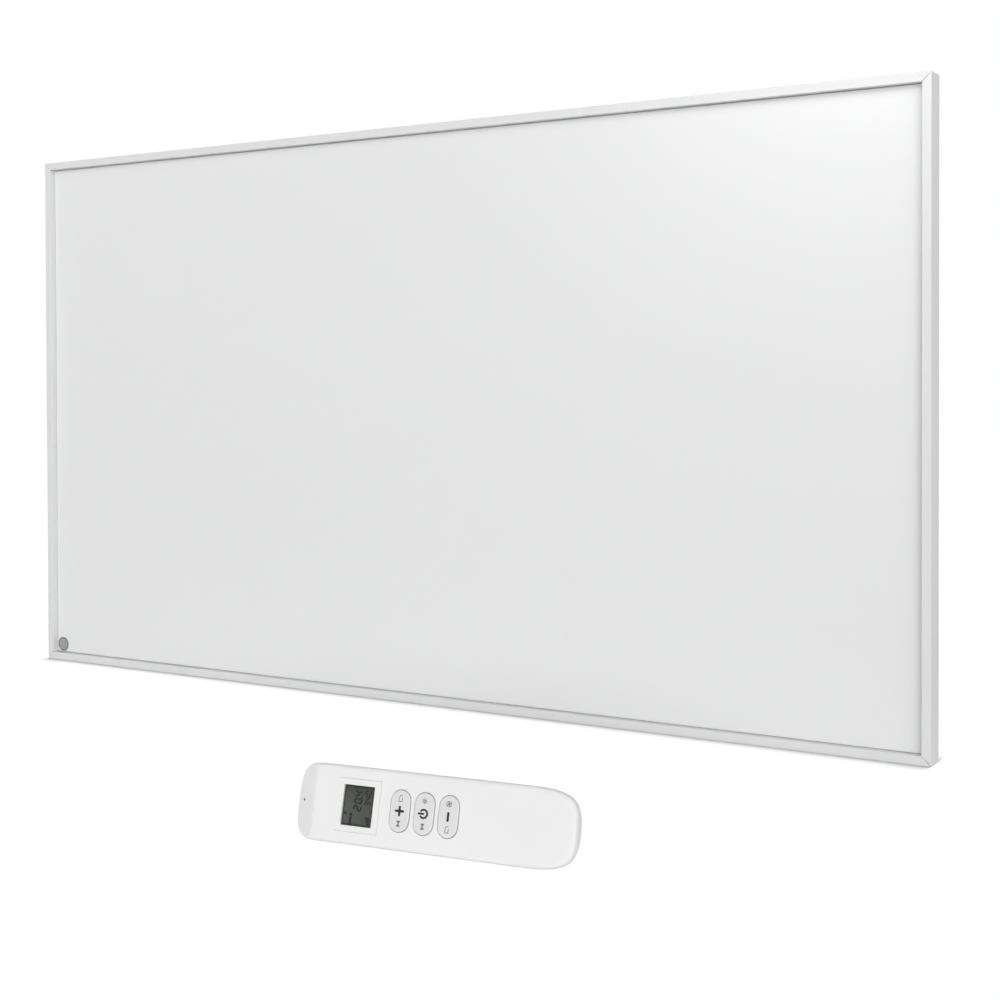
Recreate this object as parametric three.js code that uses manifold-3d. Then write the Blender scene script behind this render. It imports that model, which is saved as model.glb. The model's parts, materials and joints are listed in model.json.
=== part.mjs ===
// An infrared panel heater that hangs on a wall, with its remote control.
//
// Millimetres, +X to the right, +Y from the heated face back to the wall, +Z up.
// The origin is on the wall, behind the middle of the panel.
// Inside the panel's group Y is the depth behind the front of the frame.
// Inside the remote's group X runs from its head to its tail, Z across its width
// and Y is the depth behind its face.

import * as THREE from 'three';
import { mergeVertices } from 'three/addons/utils/BufferGeometryUtils.js';
import Module from 'manifold-3d';

const wasm = await Module();
wasm.setup();

// ---------------------------------------------------------------- sizes

// The panel as a whole
const panelWidth = 900;
const panelHeight = 500;
const panelDepth = 20;
const wallGap = 18;

// Aluminium frame rail, in section
const rimWidth = 7;
const railSkin = 1.4;
const railWeb = 1.2;
const chamberDepth = 9.2;
const rearLipReach = 9;
const mitreGap = 0.12;

// L-shaped keys that hold the mitred corners together
const keyLeg = 35;
const keyClearance = 0.3;

// Heated front plate, a shallow tray folded from sheet
const plateSheet = 0.8;
const plateRecess = 6.5;
const grooveWidth = 0.4;
const flangeClearance = 0.6;

// Layers behind the front plate
const sheetGap = 0.1;
const layerInset = 0.4;
const boardThickness = 1;
const trackThickness = 0.3;
const foilThickness = 0.3;
const backSheet = 0.8;
const backPlateClearance = 0.6;

// Heating track, one long strip laid up and down the board
const trackWidth = 10;
const trackPitch = 40;
const trackMargin = 26;
const trackTerminalGap = 4;

// Thermal cut-out in its pocket behind the board
const cutoutWidth = 22;
const cutoutHeight = 9;
const cutoutThickness = 4;
const cutoutX = 60;
const cutoutZ = -120;

// Plain disc at the lower left corner of the plate
const discDiameter = 14;
const discThickness = 0.3;
const discFromEdge = 15;
const discFromBottom = 14.8;

// Hanger plates: hat-shaped brackets with a keyhole, one near each corner
const hangerFromSide = 130;
const hangerFromEnd = 85;
const hangerSheet = 1.2;
const hangerWebWidth = 34;
const hangerFlange = 10;
const hangerLength = 50;
const hangerPocket = 5.4;
const keyholeEntry = 12.4;
const keyholeDrop = 13;
const keyholeRise = 5;

// Wall studs that the keyholes hang on
const studNeck = 6;
const studHead = 11;
const studHeadThickness = 3;
const studCollar = 14;
const studFlange = 22;
const studFlangeThickness = 2.4;
const runningGap = 0.3;

// Control box on the back plate
const boxWidth = 130;
const boxHeight = 62;
const boxDepth = 14;
const boxWall = 2;
const boxCentreX = 150;
const boxAboveBottom = 22;
const lidThickness = 1.8;
const bossRadius = 3.6;
const bossInset = 5.4;

// Screws of the control box lid
const screwHeadDiameter = 5.6;
const screwHeadHeight = 1.5;
const screwShank = 2.4;
const screwLength = 9;
const screwRimShare = 0.6;
const screwCrownShare = 0.64;

// Circuit board in the control box and what stands on it
const circuitWidth = 100;
const circuitHeight = 34;
const circuitThickness = 1.6;
const circuitStandoff = 3.4;
const circuitRibWidth = 3;
const circuitRibSpacing = 70;
const relayWidth = 20;
const relayHeight = 15;
const relayDepth = 6;
const relayOffset = -28;
const receiverWidth = 22;
const receiverHeight = 14;
const receiverThickness = 1;
const receiverOffset = 26;
const receiverCan = { width: 12, height: 9.8, depth: 3.2, offset: -2.6 };
const receiverCrystal = { width: 4, height: 8, depth: 2.4, offset: 7 };
const terminalPitch = 9;
const terminalCount = 3;
const terminalHeight = 10;
const terminalDepth = 6.2;
const terminalScrewDiameter = 3.6;
const terminalWell = 2.4;

// Leads from the heating track to the terminal block
const leadDiameter = 2.6;
const leadSpacing = 12;
const leadHoleDiameter = 9;
const leadBendRadius = 4;
const leadBelowTerminals = 8;
const leadSteps = 20;
const leadSides = 8;

// Gland for the mains lead, in the bottom wall of the control box
const glandFromEnd = 21;
const glandBore = 6.8;
const glandThread = 9;
const glandCollar = 12.8;
const glandCollarLength = 9;
const glandChamfer = 1;
const glandChamferLength = 1.5;
const glandNutThickness = 3;
const glandNutWall = 1;
const glandNutSides = 6;
const glandPastNut = 2.1;

// Rocker switch, in the bottom wall of the control box
const switchFromEnd = 25;
const switchWidth = 13;
const switchDepth = 8.6;
const switchHeight = 11.5;
const bezelWidth = 15.4;
const bezelDepth = 10.6;
const bezelThickness = 1.4;
const rockerPocketWidth = 11;
const rockerPocketDepth = 6.2;
const rockerPocketHeight = 8;
const rockerHalfLength = 4.6;
const rockerAxisDepth = 3.2;
const rockerCrown = 3.4;
const rockerValley = 2.5;
const rockerShoulder = 0.6;
const rockerShoulderHalf = 4.2;
const rockerBack = 2.6;
const rockerBackHalf = 1.8;
const rockerPinRadius = 1;
const rockerPinLength = 0.8;
const rockerPinWall = 0.2;
const rockerTilt = 10;

// Remote control
const remoteLength = 184.2;
const remoteWidth = 46.2;
const remoteDepth = 21;
const remoteFrontDepth = 6;
const remoteWall = 2;
const remoteTaper = 15;
const remoteTurn = 7.1;
const remoteX = 260.6;
const remoteFromFront = 362.7;
const headRound = 18;
const headPower = 3.4;
const tailRound = 40;
const tailPower = 3.7;
const outlineSteps = 20;
const headFall = 12.6;
const headDrop = 4.2;
const creaseLength = 1.2;
const creaseDepth = 0.35;
const seamGap = 0.3;
const rearRound = 2.4;
const rearRoundFlat = 0.4;

// Display of the remote
const frameFromHead = 43.1;
const frameClearance = 0.12;
const frameWidth = 29.1;
const frameHeight = 31;
const frameBorderX = 4.1;
const frameBorderZ = 3.6;
const frameProud = 0.4;
const frameThickness = 2.2;
const glassRecess = 0.7;
const glassThickness = 1.2;
const moduleMargin = 2;

// Buttons of the remote
const buttonsFromFrame = 28.8;
const buttonPitch = 16;
const buttonWidth = 12.8;
const buttonLength = 24.4;
const buttonProud = 0.9;
const buttonClearance = 0.45;
const buttonFlange = 1;
const buttonFlangeThickness = 1;
const buttonStemInset = 3.6;
const buttonTravel = 0.8;
const buttonRoundDepth = 0.3;
const buttonRoundReach = 1;
const buttonRoundSteps = 2;
const pillSteps = 8;

// Inside of the remote
const matThickness = 1.2;
const matWidth = 30;
const matFromBoss = 2.3;
const remoteBoardThickness = 1.6;
const remoteBoardWidth = 36;
const boardBehindSeam = 2.7;
const boardFromHead = 13;
const boardFromCompartment = 11;
const postRadius = 2;
const postsFromHead = [55, 91];
const postFromAxis = 12;
const screwFromHead = 19;
const screwFromCompartment = 4.8;
const remoteScrewHead = 4.4;
const remoteScrewHeadHeight = 1.6;
const remoteScrewShank = 2;
const remoteScrewRecess = 3;
const remoteScrewTip = 5;
const remoteBossRadius = 2.8;
const remoteBossSplit = 12;
const bossHoleFront = 4;
const screwTubeWall = 1.1;

// Battery compartment of the remote
const batteryDiameter = 10.5;
const batteryLength = 44.5;
const batterySpacing = 11.3;
const batteryEdge = 0.3;
const batteryNubRadius = 1.9;
const batteryNubLength = 1;
const batteryFromDoor = 1;
const contactThickness = 0.6;
const contactHalfHeight = 4.2;
const contactPastCell = 4.6;
const contactSpringRadius = 2.4;
const contactSpringLength = 3.4;
const contactNubRadius = 1.6;
const contactNubLength = 0.8;
const compartmentFromTail = 13.6;
const compartmentWall = 1.4;
const doorThickness = 1.8;
const doorMargin = 1.6;
const doorGap = 0.35;
const gripCount = 4;
const gripFromEnd = 4;
const gripPitch = 2.4;
const gripWidth = 1.1;
const gripDepth = 0.5;
const gripLength = 14;

// Sender at the head of the remote
const senderDiameter = 1.3;
const senderLength = 4;
const senderFromHead = 4.3;
const senderSetBack = 0.4;
const senderClearance = 0.15;

// Sides of round pieces, and how far a cut runs past the face that it opens
const roundSteps = 32;
const smallSteps = 20;
const cutPast = 1;

// Points of one surface that lie closer than this are one point
const weldDistance = 1e-4;

// ---------------------------------------------------------------- helpers

const radians = THREE.MathUtils.degToRad;

function finish(color, roughness, metalness) {
  return { color, roughness, metalness };
}

const finishes = {
  whitePowderCoat: finish(0xf1f1f2, 0.45, 0),
  aluminium: finish(0xa9acb0, 0.4, 1),
  steel: finish(0xb4b6b8, 0.35, 1),
  galvanised: finish(0x9da1a4, 0.5, 1),
  foil: finish(0xcfd2d4, 0.25, 1),
  carbon: finish(0x1d1e20, 0.7, 0),
  mica: finish(0xb9a67c, 0.7, 0),
  mineralWool: finish(0xd8cfa0, 0.95, 0),
  blackPlastic: finish(0x1c1d1f, 0.5, 0),
  whitePlastic: finish(0xeeeeee, 0.4, 0),
  greyDisc: finish(0x9c9e9f, 0.5, 0),
  greenBoard: finish(0x2c5f3d, 0.5, 0),
  relayBlue: finish(0x27548c, 0.45, 0),
  brass: finish(0xb9974a, 0.3, 1),
  redLead: finish(0xa52a25, 0.5, 0),
  blueLead: finish(0x2b4f9b, 0.5, 0),
  displayGlass: finish(0x555a54, 0.15, 0),
  greyRubber: finish(0x8d8f91, 0.8, 0),
  battery: finish(0x3f4448, 0.35, 0.2),
};

// A mesh with its own material, placed in its group.
function piece(name, geometry, look, x = 0, y = 0, z = 0) {
  const mesh = new THREE.Mesh(geometry, new THREE.MeshStandardMaterial(look));
  mesh.name = name;
  mesh.position.set(x, y, z);
  return mesh;
}

function toSolid(geometry) {
  const bare = geometry.clone();
  bare.deleteAttribute('normal');
  bare.deleteAttribute('uv');
  const merged = mergeVertices(bare, weldDistance);
  return new wasm.Manifold(new wasm.Mesh({
    numProp: 3,
    vertProperties: merged.attributes.position.array,
    triVerts: new Uint32Array(merged.index.array),
  }));
}

function toGeometry(solid) {
  const mesh = solid.getMesh();
  const geometry = new THREE.BufferGeometry();
  geometry.setAttribute('position', new THREE.BufferAttribute(mesh.vertProperties, mesh.numProp));
  geometry.setIndex(new THREE.BufferAttribute(mesh.triVerts, 1));
  geometry.computeVertexNormals();
  return geometry;
}

function join(...geometries) {
  const solids = geometries.map(toSolid);
  return toGeometry(solids.reduce((whole, next) => whole.add(next)));
}

function cut(geometry, ...tools) {
  const solids = tools.map(toSolid);
  return toGeometry(solids.reduce((rest, tool) => rest.subtract(tool), toSolid(geometry)));
}

// A box between two values on each axis.
function block(x0, x1, y0, y1, z0, z1) {
  const geometry = new THREE.BoxGeometry(x1 - x0, y1 - y0, z1 - z0);
  return geometry.translate((x0 + x1) / 2, (y0 + y1) / 2, (z0 + z1) / 2);
}

// A box centred on x and z, between two depths.
function slab(width, height, y0, y1, x = 0, z = 0) {
  return block(x - width / 2, x + width / 2, y0, y1, z - height / 2, z + height / 2);
}

// A round bar along one axis, between two values on it.
function barX(radius, x0, x1, y, z, steps = smallSteps) {
  const geometry = new THREE.CylinderGeometry(radius, radius, x1 - x0, steps);
  return geometry.rotateZ(Math.PI / 2).translate((x0 + x1) / 2, y, z);
}

function barY(radius, y0, y1, x, z, steps = smallSteps) {
  const geometry = new THREE.CylinderGeometry(radius, radius, y1 - y0, steps);
  return geometry.translate(x, (y0 + y1) / 2, z);
}

function barZ(radius, z0, z1, x, y, steps = smallSteps) {
  const geometry = new THREE.CylinderGeometry(radius, radius, z1 - z0, steps);
  return geometry.rotateX(Math.PI / 2).translate(x, y, (z0 + z1) / 2);
}

function shapeOf(points) {
  return new THREE.Shape(points.map(([x, y]) => new THREE.Vector2(x, y)));
}

// A flat shape drawn in X and Z, as thick as the two depths.
function plateOf(shape, y0, y1) {
  const options = { depth: y1 - y0, bevelEnabled: false, curveSegments: smallSteps };
  return new THREE.ExtrudeGeometry(shape, options).rotateX(Math.PI / 2).translate(0, y1, 0);
}

// A turned piece round the Y axis from points of radius and depth, given clockwise
// round the section.
function turned(points, steps = roundSteps) {
  const profile = points.map(([radius, y]) => new THREE.Vector2(radius, y));
  return new THREE.LatheGeometry(profile, steps);
}

// One closed skin through rings of equally many points, from the rear ring to the
// front one. Each ring has a depth and an outline in X and Z.
function loft(rings) {
  const count = rings[0].outline.length;
  const position = [];
  for (const ring of rings) {
    for (const point of ring.outline) {
      position.push(point.x, ring.depth, point.y);
    }
  }
  const index = [];
  for (let r = 0; r < rings.length - 1; r += 1) {
    for (let i = 0; i < count; i += 1) {
      const next = (i + 1) % count;
      const low = r * count;
      const high = low + count;
      index.push(low + i, low + next, high + next);
      index.push(low + i, high + next, high + i);
    }
  }
  const last = (rings.length - 1) * count;
  for (const [a, b, c] of THREE.ShapeUtils.triangulateShape(rings[0].outline, [])) {
    index.push(a, c, b);
  }
  for (const [a, b, c] of THREE.ShapeUtils.triangulateShape(rings.at(-1).outline, [])) {
    index.push(last + a, last + b, last + c);
  }
  const geometry = new THREE.BufferGeometry();
  geometry.setAttribute('position', new THREE.Float32BufferAttribute(position, 3));
  geometry.setIndex(index);
  geometry.computeVertexNormals();
  return geometry;
}

// ---------------------------------------------------------------- panel frame

const rearLipFront = panelDepth - railSkin;

// The rail's section: inset from the outer face, and depth behind the front.
function railSection() {
  const section = shapeOf([
    [0, 0],
    [rimWidth, 0],
    [rimWidth, chamberDepth],
    [railSkin, chamberDepth],
    [railSkin, rearLipFront],
    [rearLipReach, rearLipFront],
    [rearLipReach, panelDepth],
    [0, panelDepth],
  ]);
  const chamber = new THREE.Path();
  chamber.moveTo(railSkin, railSkin);
  chamber.lineTo(railSkin, chamberDepth - railWeb);
  chamber.lineTo(rimWidth - railWeb, chamberDepth - railWeb);
  chamber.lineTo(rimWidth - railWeb, railSkin);
  chamber.closePath();
  section.holes.push(chamber);
  return section;
}

// A rail lies along X with its outer face up. Its ends are mitred by drawing each
// point of the end in by its own inset.
function railGeometry(length) {
  const geometry = new THREE.ExtrudeGeometry(railSection(), { depth: 1, bevelEnabled: false });
  const position = geometry.attributes.position;
  for (let i = 0; i < position.count; i += 1) {
    const inset = position.getX(i);
    const depth = position.getY(i);
    const end = position.getZ(i) > 0.5 ? 1 : -1;
    position.setXYZ(i, end * (length / 2 - inset - mitreGap), depth, -inset);
  }
  geometry.computeVertexNormals();
  return geometry;
}

function makeRails() {
  const sides = [
    { name: 'rail_top', length: panelWidth, x: 0, z: panelHeight / 2, quarter: 0 },
    { name: 'rail_right', length: panelHeight, x: panelWidth / 2, z: 0, quarter: 1 },
    { name: 'rail_bottom', length: panelWidth, x: 0, z: -panelHeight / 2, quarter: 2 },
    { name: 'rail_left', length: panelHeight, x: -panelWidth / 2, z: 0, quarter: 3 },
  ];
  return sides.map((side) => {
    const look = finishes.whitePowderCoat;
    const rail = piece(side.name, railGeometry(side.length), look, side.x, 0, side.z);
    rail.rotation.y = side.quarter * Math.PI / 2;
    return rail;
  });
}

// A key is drawn at the top right corner, with its outer corner at the origin.
function keyGeometry() {
  const outer = railSkin + keyClearance;
  const inner = rimWidth - railWeb - keyClearance;
  const end = outer + keyLeg;
  const shape = shapeOf([
    [-outer, -outer],
    [-end, -outer],
    [-end, -inner],
    [-inner, -inner],
    [-inner, -end],
    [-outer, -end],
  ]);
  return plateOf(shape, outer, chamberDepth - railWeb - keyClearance);
}

function makeCornerKeys() {
  const corners = [
    { name: 'corner_key_top_right', x: 1, z: 1, quarter: 0 },
    { name: 'corner_key_bottom_right', x: 1, z: -1, quarter: 1 },
    { name: 'corner_key_bottom_left', x: -1, z: -1, quarter: 2 },
    { name: 'corner_key_top_left', x: -1, z: 1, quarter: 3 },
  ];
  return corners.map((corner) => {
    const x = corner.x * panelWidth / 2;
    const z = corner.z * panelHeight / 2;
    const key = piece(corner.name, keyGeometry(), finishes.aluminium, x, 0, z);
    key.rotation.y = corner.quarter * Math.PI / 2;
    return key;
  });
}

// ---------------------------------------------------------------- heated layers

const plateWidth = panelWidth - 2 * (rimWidth + grooveWidth);
const plateHeight = panelHeight - 2 * (rimWidth + grooveWidth);
const layerWidth = plateWidth - 2 * (plateSheet + layerInset);
const layerHeight = plateHeight - 2 * (plateSheet + layerInset);
const flangeFront = chamberDepth + sheetGap;
const boardFront = plateRecess + plateSheet + sheetGap;
const trackFront = boardFront + boardThickness + sheetGap;
const foilFront = trackFront + trackThickness + sheetGap;
const woolFront = foilFront + foilThickness + sheetGap;
const backPlateFront = rearLipFront - sheetGap - backSheet;
const backPlateRear = backPlateFront + backSheet;
const boxFloor = backPlateRear + sheetGap;
const boxCentreZ = -panelHeight / 2 + boxAboveBottom + boxHeight / 2;
const leadZ = boxCentreZ - circuitHeight / 2 - leadBelowTerminals;

function makeFrontPlate() {
  const flangeWidth = panelWidth - 2 * (railSkin + flangeClearance);
  const flangeHeight = panelHeight - 2 * (railSkin + flangeClearance);
  const rear = flangeFront + plateSheet;
  const tray = slab(plateWidth, plateHeight, plateRecess, rear);
  const flange = slab(flangeWidth, flangeHeight, flangeFront, rear);
  const hollowWidth = plateWidth - 2 * plateSheet;
  const hollowHeight = plateHeight - 2 * plateSheet;
  const hollow = slab(hollowWidth, hollowHeight, plateRecess + plateSheet, rear + cutPast);
  return piece('front_plate', cut(join(tray, flange), hollow), finishes.whitePowderCoat);
}

function makeCornerDisc() {
  const disc = barY(discDiameter / 2, -discThickness, 0, 0, 0, roundSteps);
  const x = -panelWidth / 2 + discFromEdge;
  const z = -panelHeight / 2 + discFromBottom;
  return piece('corner_disc', disc, finishes.greyDisc, x, plateRecess, z);
}

function makeHeatingBoard() {
  const board = slab(layerWidth, layerHeight, 0, boardThickness);
  return piece('heating_board', board, finishes.mica, 0, boardFront, 0);
}

// The outline of a strip along a path that turns only through right angles.
function stripAlong(path, width) {
  const sideOf = (side) => path.map(([x, y], i) => {
    const [px, py] = path[Math.max(i - 1, 0)];
    const [nx, ny] = path[Math.min(i + 1, path.length - 1)];
    const inX = Math.sign(x - px);
    const inY = Math.sign(y - py);
    const outX = Math.sign(nx - x);
    const outY = Math.sign(ny - y);
    const alongX = i === 0 || inX === 0 ? outX : inX;
    const alongY = i === 0 || inY === 0 ? outY : inY;
    return [x - side * alongY * width / 2, y + side * alongX * width / 2];
  });
  return shapeOf([...sideOf(-1), ...sideOf(1).reverse()]);
}

// The strip leaves one terminal along the bottom edge, climbs and drops in turn
// across the whole board, and comes back along the bottom edge to the other.
function makeHeatingTrack() {
  const edge = layerWidth / 2 - trackMargin;
  const top = layerHeight / 2 - trackMargin;
  const low = leadZ + trackPitch / 2;
  const pairs = Math.floor(2 * edge / trackPitch / 2);
  const runs = 2 * pairs;
  const pitch = 2 * edge / (runs - 1);
  const terminal = leadSpacing / 2 - (leadSpacing - trackWidth - trackTerminalGap) / 2;
  const path = [[boxCentreX - terminal + trackWidth / 2, leadZ]];
  for (let run = 0; run < runs; run += 1) {
    const x = -edge + run * pitch;
    const first = run === 0 ? leadZ : low;
    const last = run === runs - 1 ? leadZ : low;
    if (run % 2 === 0) {
      path.push([x, first], [x, top]);
    } else {
      path.push([x, top], [x, last]);
    }
  }
  path.push([boxCentreX + terminal - trackWidth / 2, leadZ]);
  const strip = plateOf(stripAlong(path, trackWidth), 0, trackThickness);
  return piece('heating_track', strip, finishes.carbon, 0, trackFront, 0);
}

// The opening that both leads pass through, in a sheet between two depths.
function leadHole(y0, y1) {
  const width = leadSpacing + leadHoleDiameter;
  return slab(width, leadHoleDiameter, y0 - cutPast, y1 + cutPast, boxCentreX, leadZ);
}

function makeFoil() {
  const sheet = slab(layerWidth, layerHeight, foilFront, foilFront + foilThickness);
  const hole = leadHole(foilFront, foilFront + foilThickness);
  return piece('reflector_foil', cut(sheet, hole), finishes.foil);
}

function makeInsulation() {
  const rear = backPlateFront - sheetGap;
  const wool = slab(layerWidth, layerHeight, woolFront, rear);
  const pocketWidth = cutoutWidth + 2 * runningGap;
  const pocketHeight = cutoutHeight + 2 * runningGap;
  const pocketRear = woolFront + cutoutThickness + 2 * runningGap;
  const pocketFront = woolFront - cutPast;
  const pocket = slab(pocketWidth, pocketHeight, pocketFront, pocketRear, cutoutX, cutoutZ);
  const cutWool = cut(wool, leadHole(woolFront, rear), pocket);
  return piece('insulation_board', cutWool, finishes.mineralWool);
}

function makeThermalCutout() {
  const can = slab(cutoutWidth, cutoutHeight, 0, cutoutThickness);
  return piece('thermal_cutout', can, finishes.steel, cutoutX, woolFront, cutoutZ);
}

function makeBackPlate() {
  const width = panelWidth - 2 * (railSkin + backPlateClearance);
  const height = panelHeight - 2 * (railSkin + backPlateClearance);
  const sheet = slab(width, height, backPlateFront, backPlateRear);
  const hole = leadHole(backPlateFront, backPlateRear);
  return piece('back_plate', cut(sheet, hole), finishes.galvanised);
}

// ---------------------------------------------------------------- wall fixing

const slotWidth = studNeck + 2 * runningGap;

// The hat section of a hanger, with its keyhole: a round entry below and a
// narrow slot above it, closed by a round end where the stud's neck rests.
function hangerGeometry() {
  const web = hangerWebWidth / 2;
  const inner = web - hangerSheet;
  const flange = web + hangerFlange;
  const crown = hangerPocket + hangerSheet;
  const section = shapeOf([
    [-flange, 0],
    [-inner, 0],
    [-inner, hangerPocket],
    [inner, hangerPocket],
    [inner, 0],
    [flange, 0],
    [flange, hangerSheet],
    [web, hangerSheet],
    [web, crown],
    [-web, crown],
    [-web, hangerSheet],
    [-flange, hangerSheet],
  ]);
  const options = { depth: hangerLength, bevelEnabled: false };
  const hat = new THREE.ExtrudeGeometry(section, options).translate(0, 0, -hangerLength / 2);
  const y0 = hangerPocket - cutPast;
  const y1 = crown + cutPast;
  const entry = barY(keyholeEntry / 2, y0, y1, 0, keyholeRise - keyholeDrop);
  const slot = slab(slotWidth, keyholeDrop, y0, y1, 0, keyholeRise - keyholeDrop / 2);
  const end = barY(slotWidth / 2, y0, y1, 0, keyholeRise);
  return cut(hat, join(entry, slot, end));
}

function studGeometry() {
  const wall = panelDepth + wallGap;
  const webInner = boxFloor + hangerPocket;
  const headRear = webInner - runningGap;
  const collarFront = webInner + hangerSheet + runningGap;
  return turned([
    [0, headRear - studHeadThickness],
    [studHead / 2, headRear - studHeadThickness],
    [studHead / 2, headRear],
    [studNeck / 2, headRear],
    [studNeck / 2, collarFront],
    [studCollar / 2, collarFront],
    [studCollar / 2, wall - studFlangeThickness],
    [studFlange / 2, wall - studFlangeThickness],
    [studFlange / 2, wall],
    [0, wall],
  ]);
}

function makeWallFixings() {
  const x = panelWidth / 2 - hangerFromSide;
  const z = panelHeight / 2 - hangerFromEnd;
  const places = [
    { end: 'top_left', x: -x, z },
    { end: 'top_right', x, z },
    { end: 'bottom_left', x: -x, z: -z },
    { end: 'bottom_right', x, z: -z },
  ];
  return places.flatMap((place) => {
    const hanger = hangerGeometry();
    const plateName = `hanger_plate_${place.end}`;
    const studZ = place.z + keyholeRise;
    return [
      piece(plateName, hanger, finishes.galvanised, place.x, boxFloor, place.z),
      piece(`wall_stud_${place.end}`, studGeometry(), finishes.steel, place.x, 0, studZ),
    ];
  });
}

// ---------------------------------------------------------------- control box

const boxInnerFloor = boxFloor + boxWall;
const boxRim = boxFloor + boxDepth;
const boxBottom = boxCentreZ - boxHeight / 2;
const circuitFront = boxInnerFloor + circuitStandoff;
const circuitRear = circuitFront + circuitThickness;
const glandX = boxCentreX + boxWidth / 2 - glandFromEnd;
const switchX = boxCentreX - boxWidth / 2 + switchFromEnd;
const boxMidDepth = (boxInnerFloor + boxRim) / 2;

function lidScrewPlaces() {
  const x = boxWidth / 2 - bossInset;
  const z = boxHeight / 2 - bossInset;
  return [
    { end: 'top_left', x: boxCentreX - x, z: boxCentreZ + z },
    { end: 'top_right', x: boxCentreX + x, z: boxCentreZ + z },
    { end: 'bottom_left', x: boxCentreX - x, z: boxCentreZ - z },
    { end: 'bottom_right', x: boxCentreX + x, z: boxCentreZ - z },
  ];
}

function makeControlBoxBase() {
  const shell = slab(boxWidth, boxHeight, boxFloor, boxRim, boxCentreX, boxCentreZ);
  const innerWidth = boxWidth - 2 * boxWall;
  const innerHeight = boxHeight - 2 * boxWall;
  const roomRear = boxRim + cutPast;
  const room = slab(innerWidth, innerHeight, boxInnerFloor, roomRear, boxCentreX, boxCentreZ);
  const bosses = lidScrewPlaces().map((place) => (
    barY(bossRadius, boxFloor, boxRim, place.x, place.z)
  ));
  const ribs = [-1, 1].map((side) => {
    const x = boxCentreX + side * circuitRibSpacing / 2;
    const top = circuitFront - sheetGap;
    return slab(circuitRibWidth, circuitHeight, boxFloor, top, x, boxCentreZ);
  });
  const holeRadius = screwShank / 2 + runningGap;
  const screwHoles = lidScrewPlaces().map((place) => (
    barY(holeRadius, boxRim - screwLength - cutPast, roomRear, place.x, place.z)
  ));
  const bottom0 = boxBottom - cutPast;
  const bottom1 = boxBottom + boxWall + cutPast;
  const glandHole = barZ(glandThread / 2 + runningGap, bottom0, bottom1, glandX, boxMidDepth);
  const switchHalf = switchWidth / 2 + runningGap;
  const switchHole = block(
    switchX - switchHalf,
    switchX + switchHalf,
    boxMidDepth - switchDepth / 2 - runningGap,
    boxMidDepth + switchDepth / 2 + runningGap,
    bottom0,
    bottom1,
  );
  const body = join(cut(shell, room), ...bosses, ...ribs);
  const leads = leadHole(boxFloor, boxInnerFloor);
  const base = cut(body, ...screwHoles, glandHole, switchHole, leads);
  return piece('control_box_base', base, finishes.blackPlastic);
}

function makeControlBoxLid() {
  const front = boxRim + sheetGap;
  const rear = front + lidThickness;
  const sheet = slab(boxWidth, boxHeight, front, rear, boxCentreX, boxCentreZ);
  const holes = lidScrewPlaces().map((place) => (
    barY(screwShank / 2 + runningGap, front - cutPast, rear + cutPast, place.x, place.z)
  ));
  return piece('control_box_lid', cut(sheet, ...holes), finishes.blackPlastic);
}

// A pan-head screw along Y: its head's underside at 0 and its tip in front of it. The
// head's rim is straight for a share of its height, and its crown is flat over a share
// of its width.
function screwGeometry(headDiameter, headHeight, shankDiameter, length) {
  return turned([
    [0, -length],
    [shankDiameter / 2, -length],
    [shankDiameter / 2, 0],
    [headDiameter / 2, 0],
    [headDiameter / 2, headHeight * screwRimShare],
    [headDiameter / 2 * screwCrownShare, headHeight],
    [0, headHeight],
  ], smallSteps);
}

function makeLidScrews() {
  const seat = boxRim + sheetGap + lidThickness + sheetGap;
  return lidScrewPlaces().map((place) => {
    const screw = screwGeometry(screwHeadDiameter, screwHeadHeight, screwShank, screwLength);
    return piece(`lid_screw_${place.end}`, screw, finishes.steel, place.x, seat, place.z);
  });
}

function makeCircuit() {
  const board = slab(circuitWidth, circuitHeight, 0, circuitThickness);
  const onBoard = circuitRear + sheetGap;
  const relay = slab(relayWidth, relayHeight, 0, relayDepth);
  const base = slab(receiverWidth, receiverHeight, 0, receiverThickness);
  const raised = [receiverCan, receiverCrystal].map((box) => (
    slab(box.width, box.height, 0, box.depth, box.offset)
  ));
  const receiver = join(base, ...raised);
  const relayX = boxCentreX + relayOffset;
  const receiverX = boxCentreX + receiverOffset;
  return [
    piece('control_board', board, finishes.greenBoard, boxCentreX, circuitFront, boxCentreZ),
    piece('relay', relay, finishes.relayBlue, relayX, onBoard, boxCentreZ),
    piece('radio_receiver', receiver, finishes.steel, receiverX, onBoard, boxCentreZ),
  ];
}

const terminalBottom = boxCentreZ - circuitHeight / 2;

// The terminal block stands on the lower edge of the board, its screws to the rear.
function makeTerminalBlock() {
  const half = terminalCount * terminalPitch / 2;
  const front = circuitRear + sheetGap;
  const rear = front + terminalDepth;
  const top = terminalBottom + terminalHeight;
  const body = block(boxCentreX - half, boxCentreX + half, front, rear, terminalBottom, top);
  const wells = [];
  for (let i = 0; i < terminalCount; i += 1) {
    const x = boxCentreX - half + (i + 0.5) * terminalPitch;
    const z = (terminalBottom + top) / 2;
    wells.push(barY(terminalScrewDiameter / 2, rear - terminalWell, rear + cutPast, x, z));
  }
  return piece('terminal_block', cut(body, ...wells), finishes.whitePlastic);
}

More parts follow.
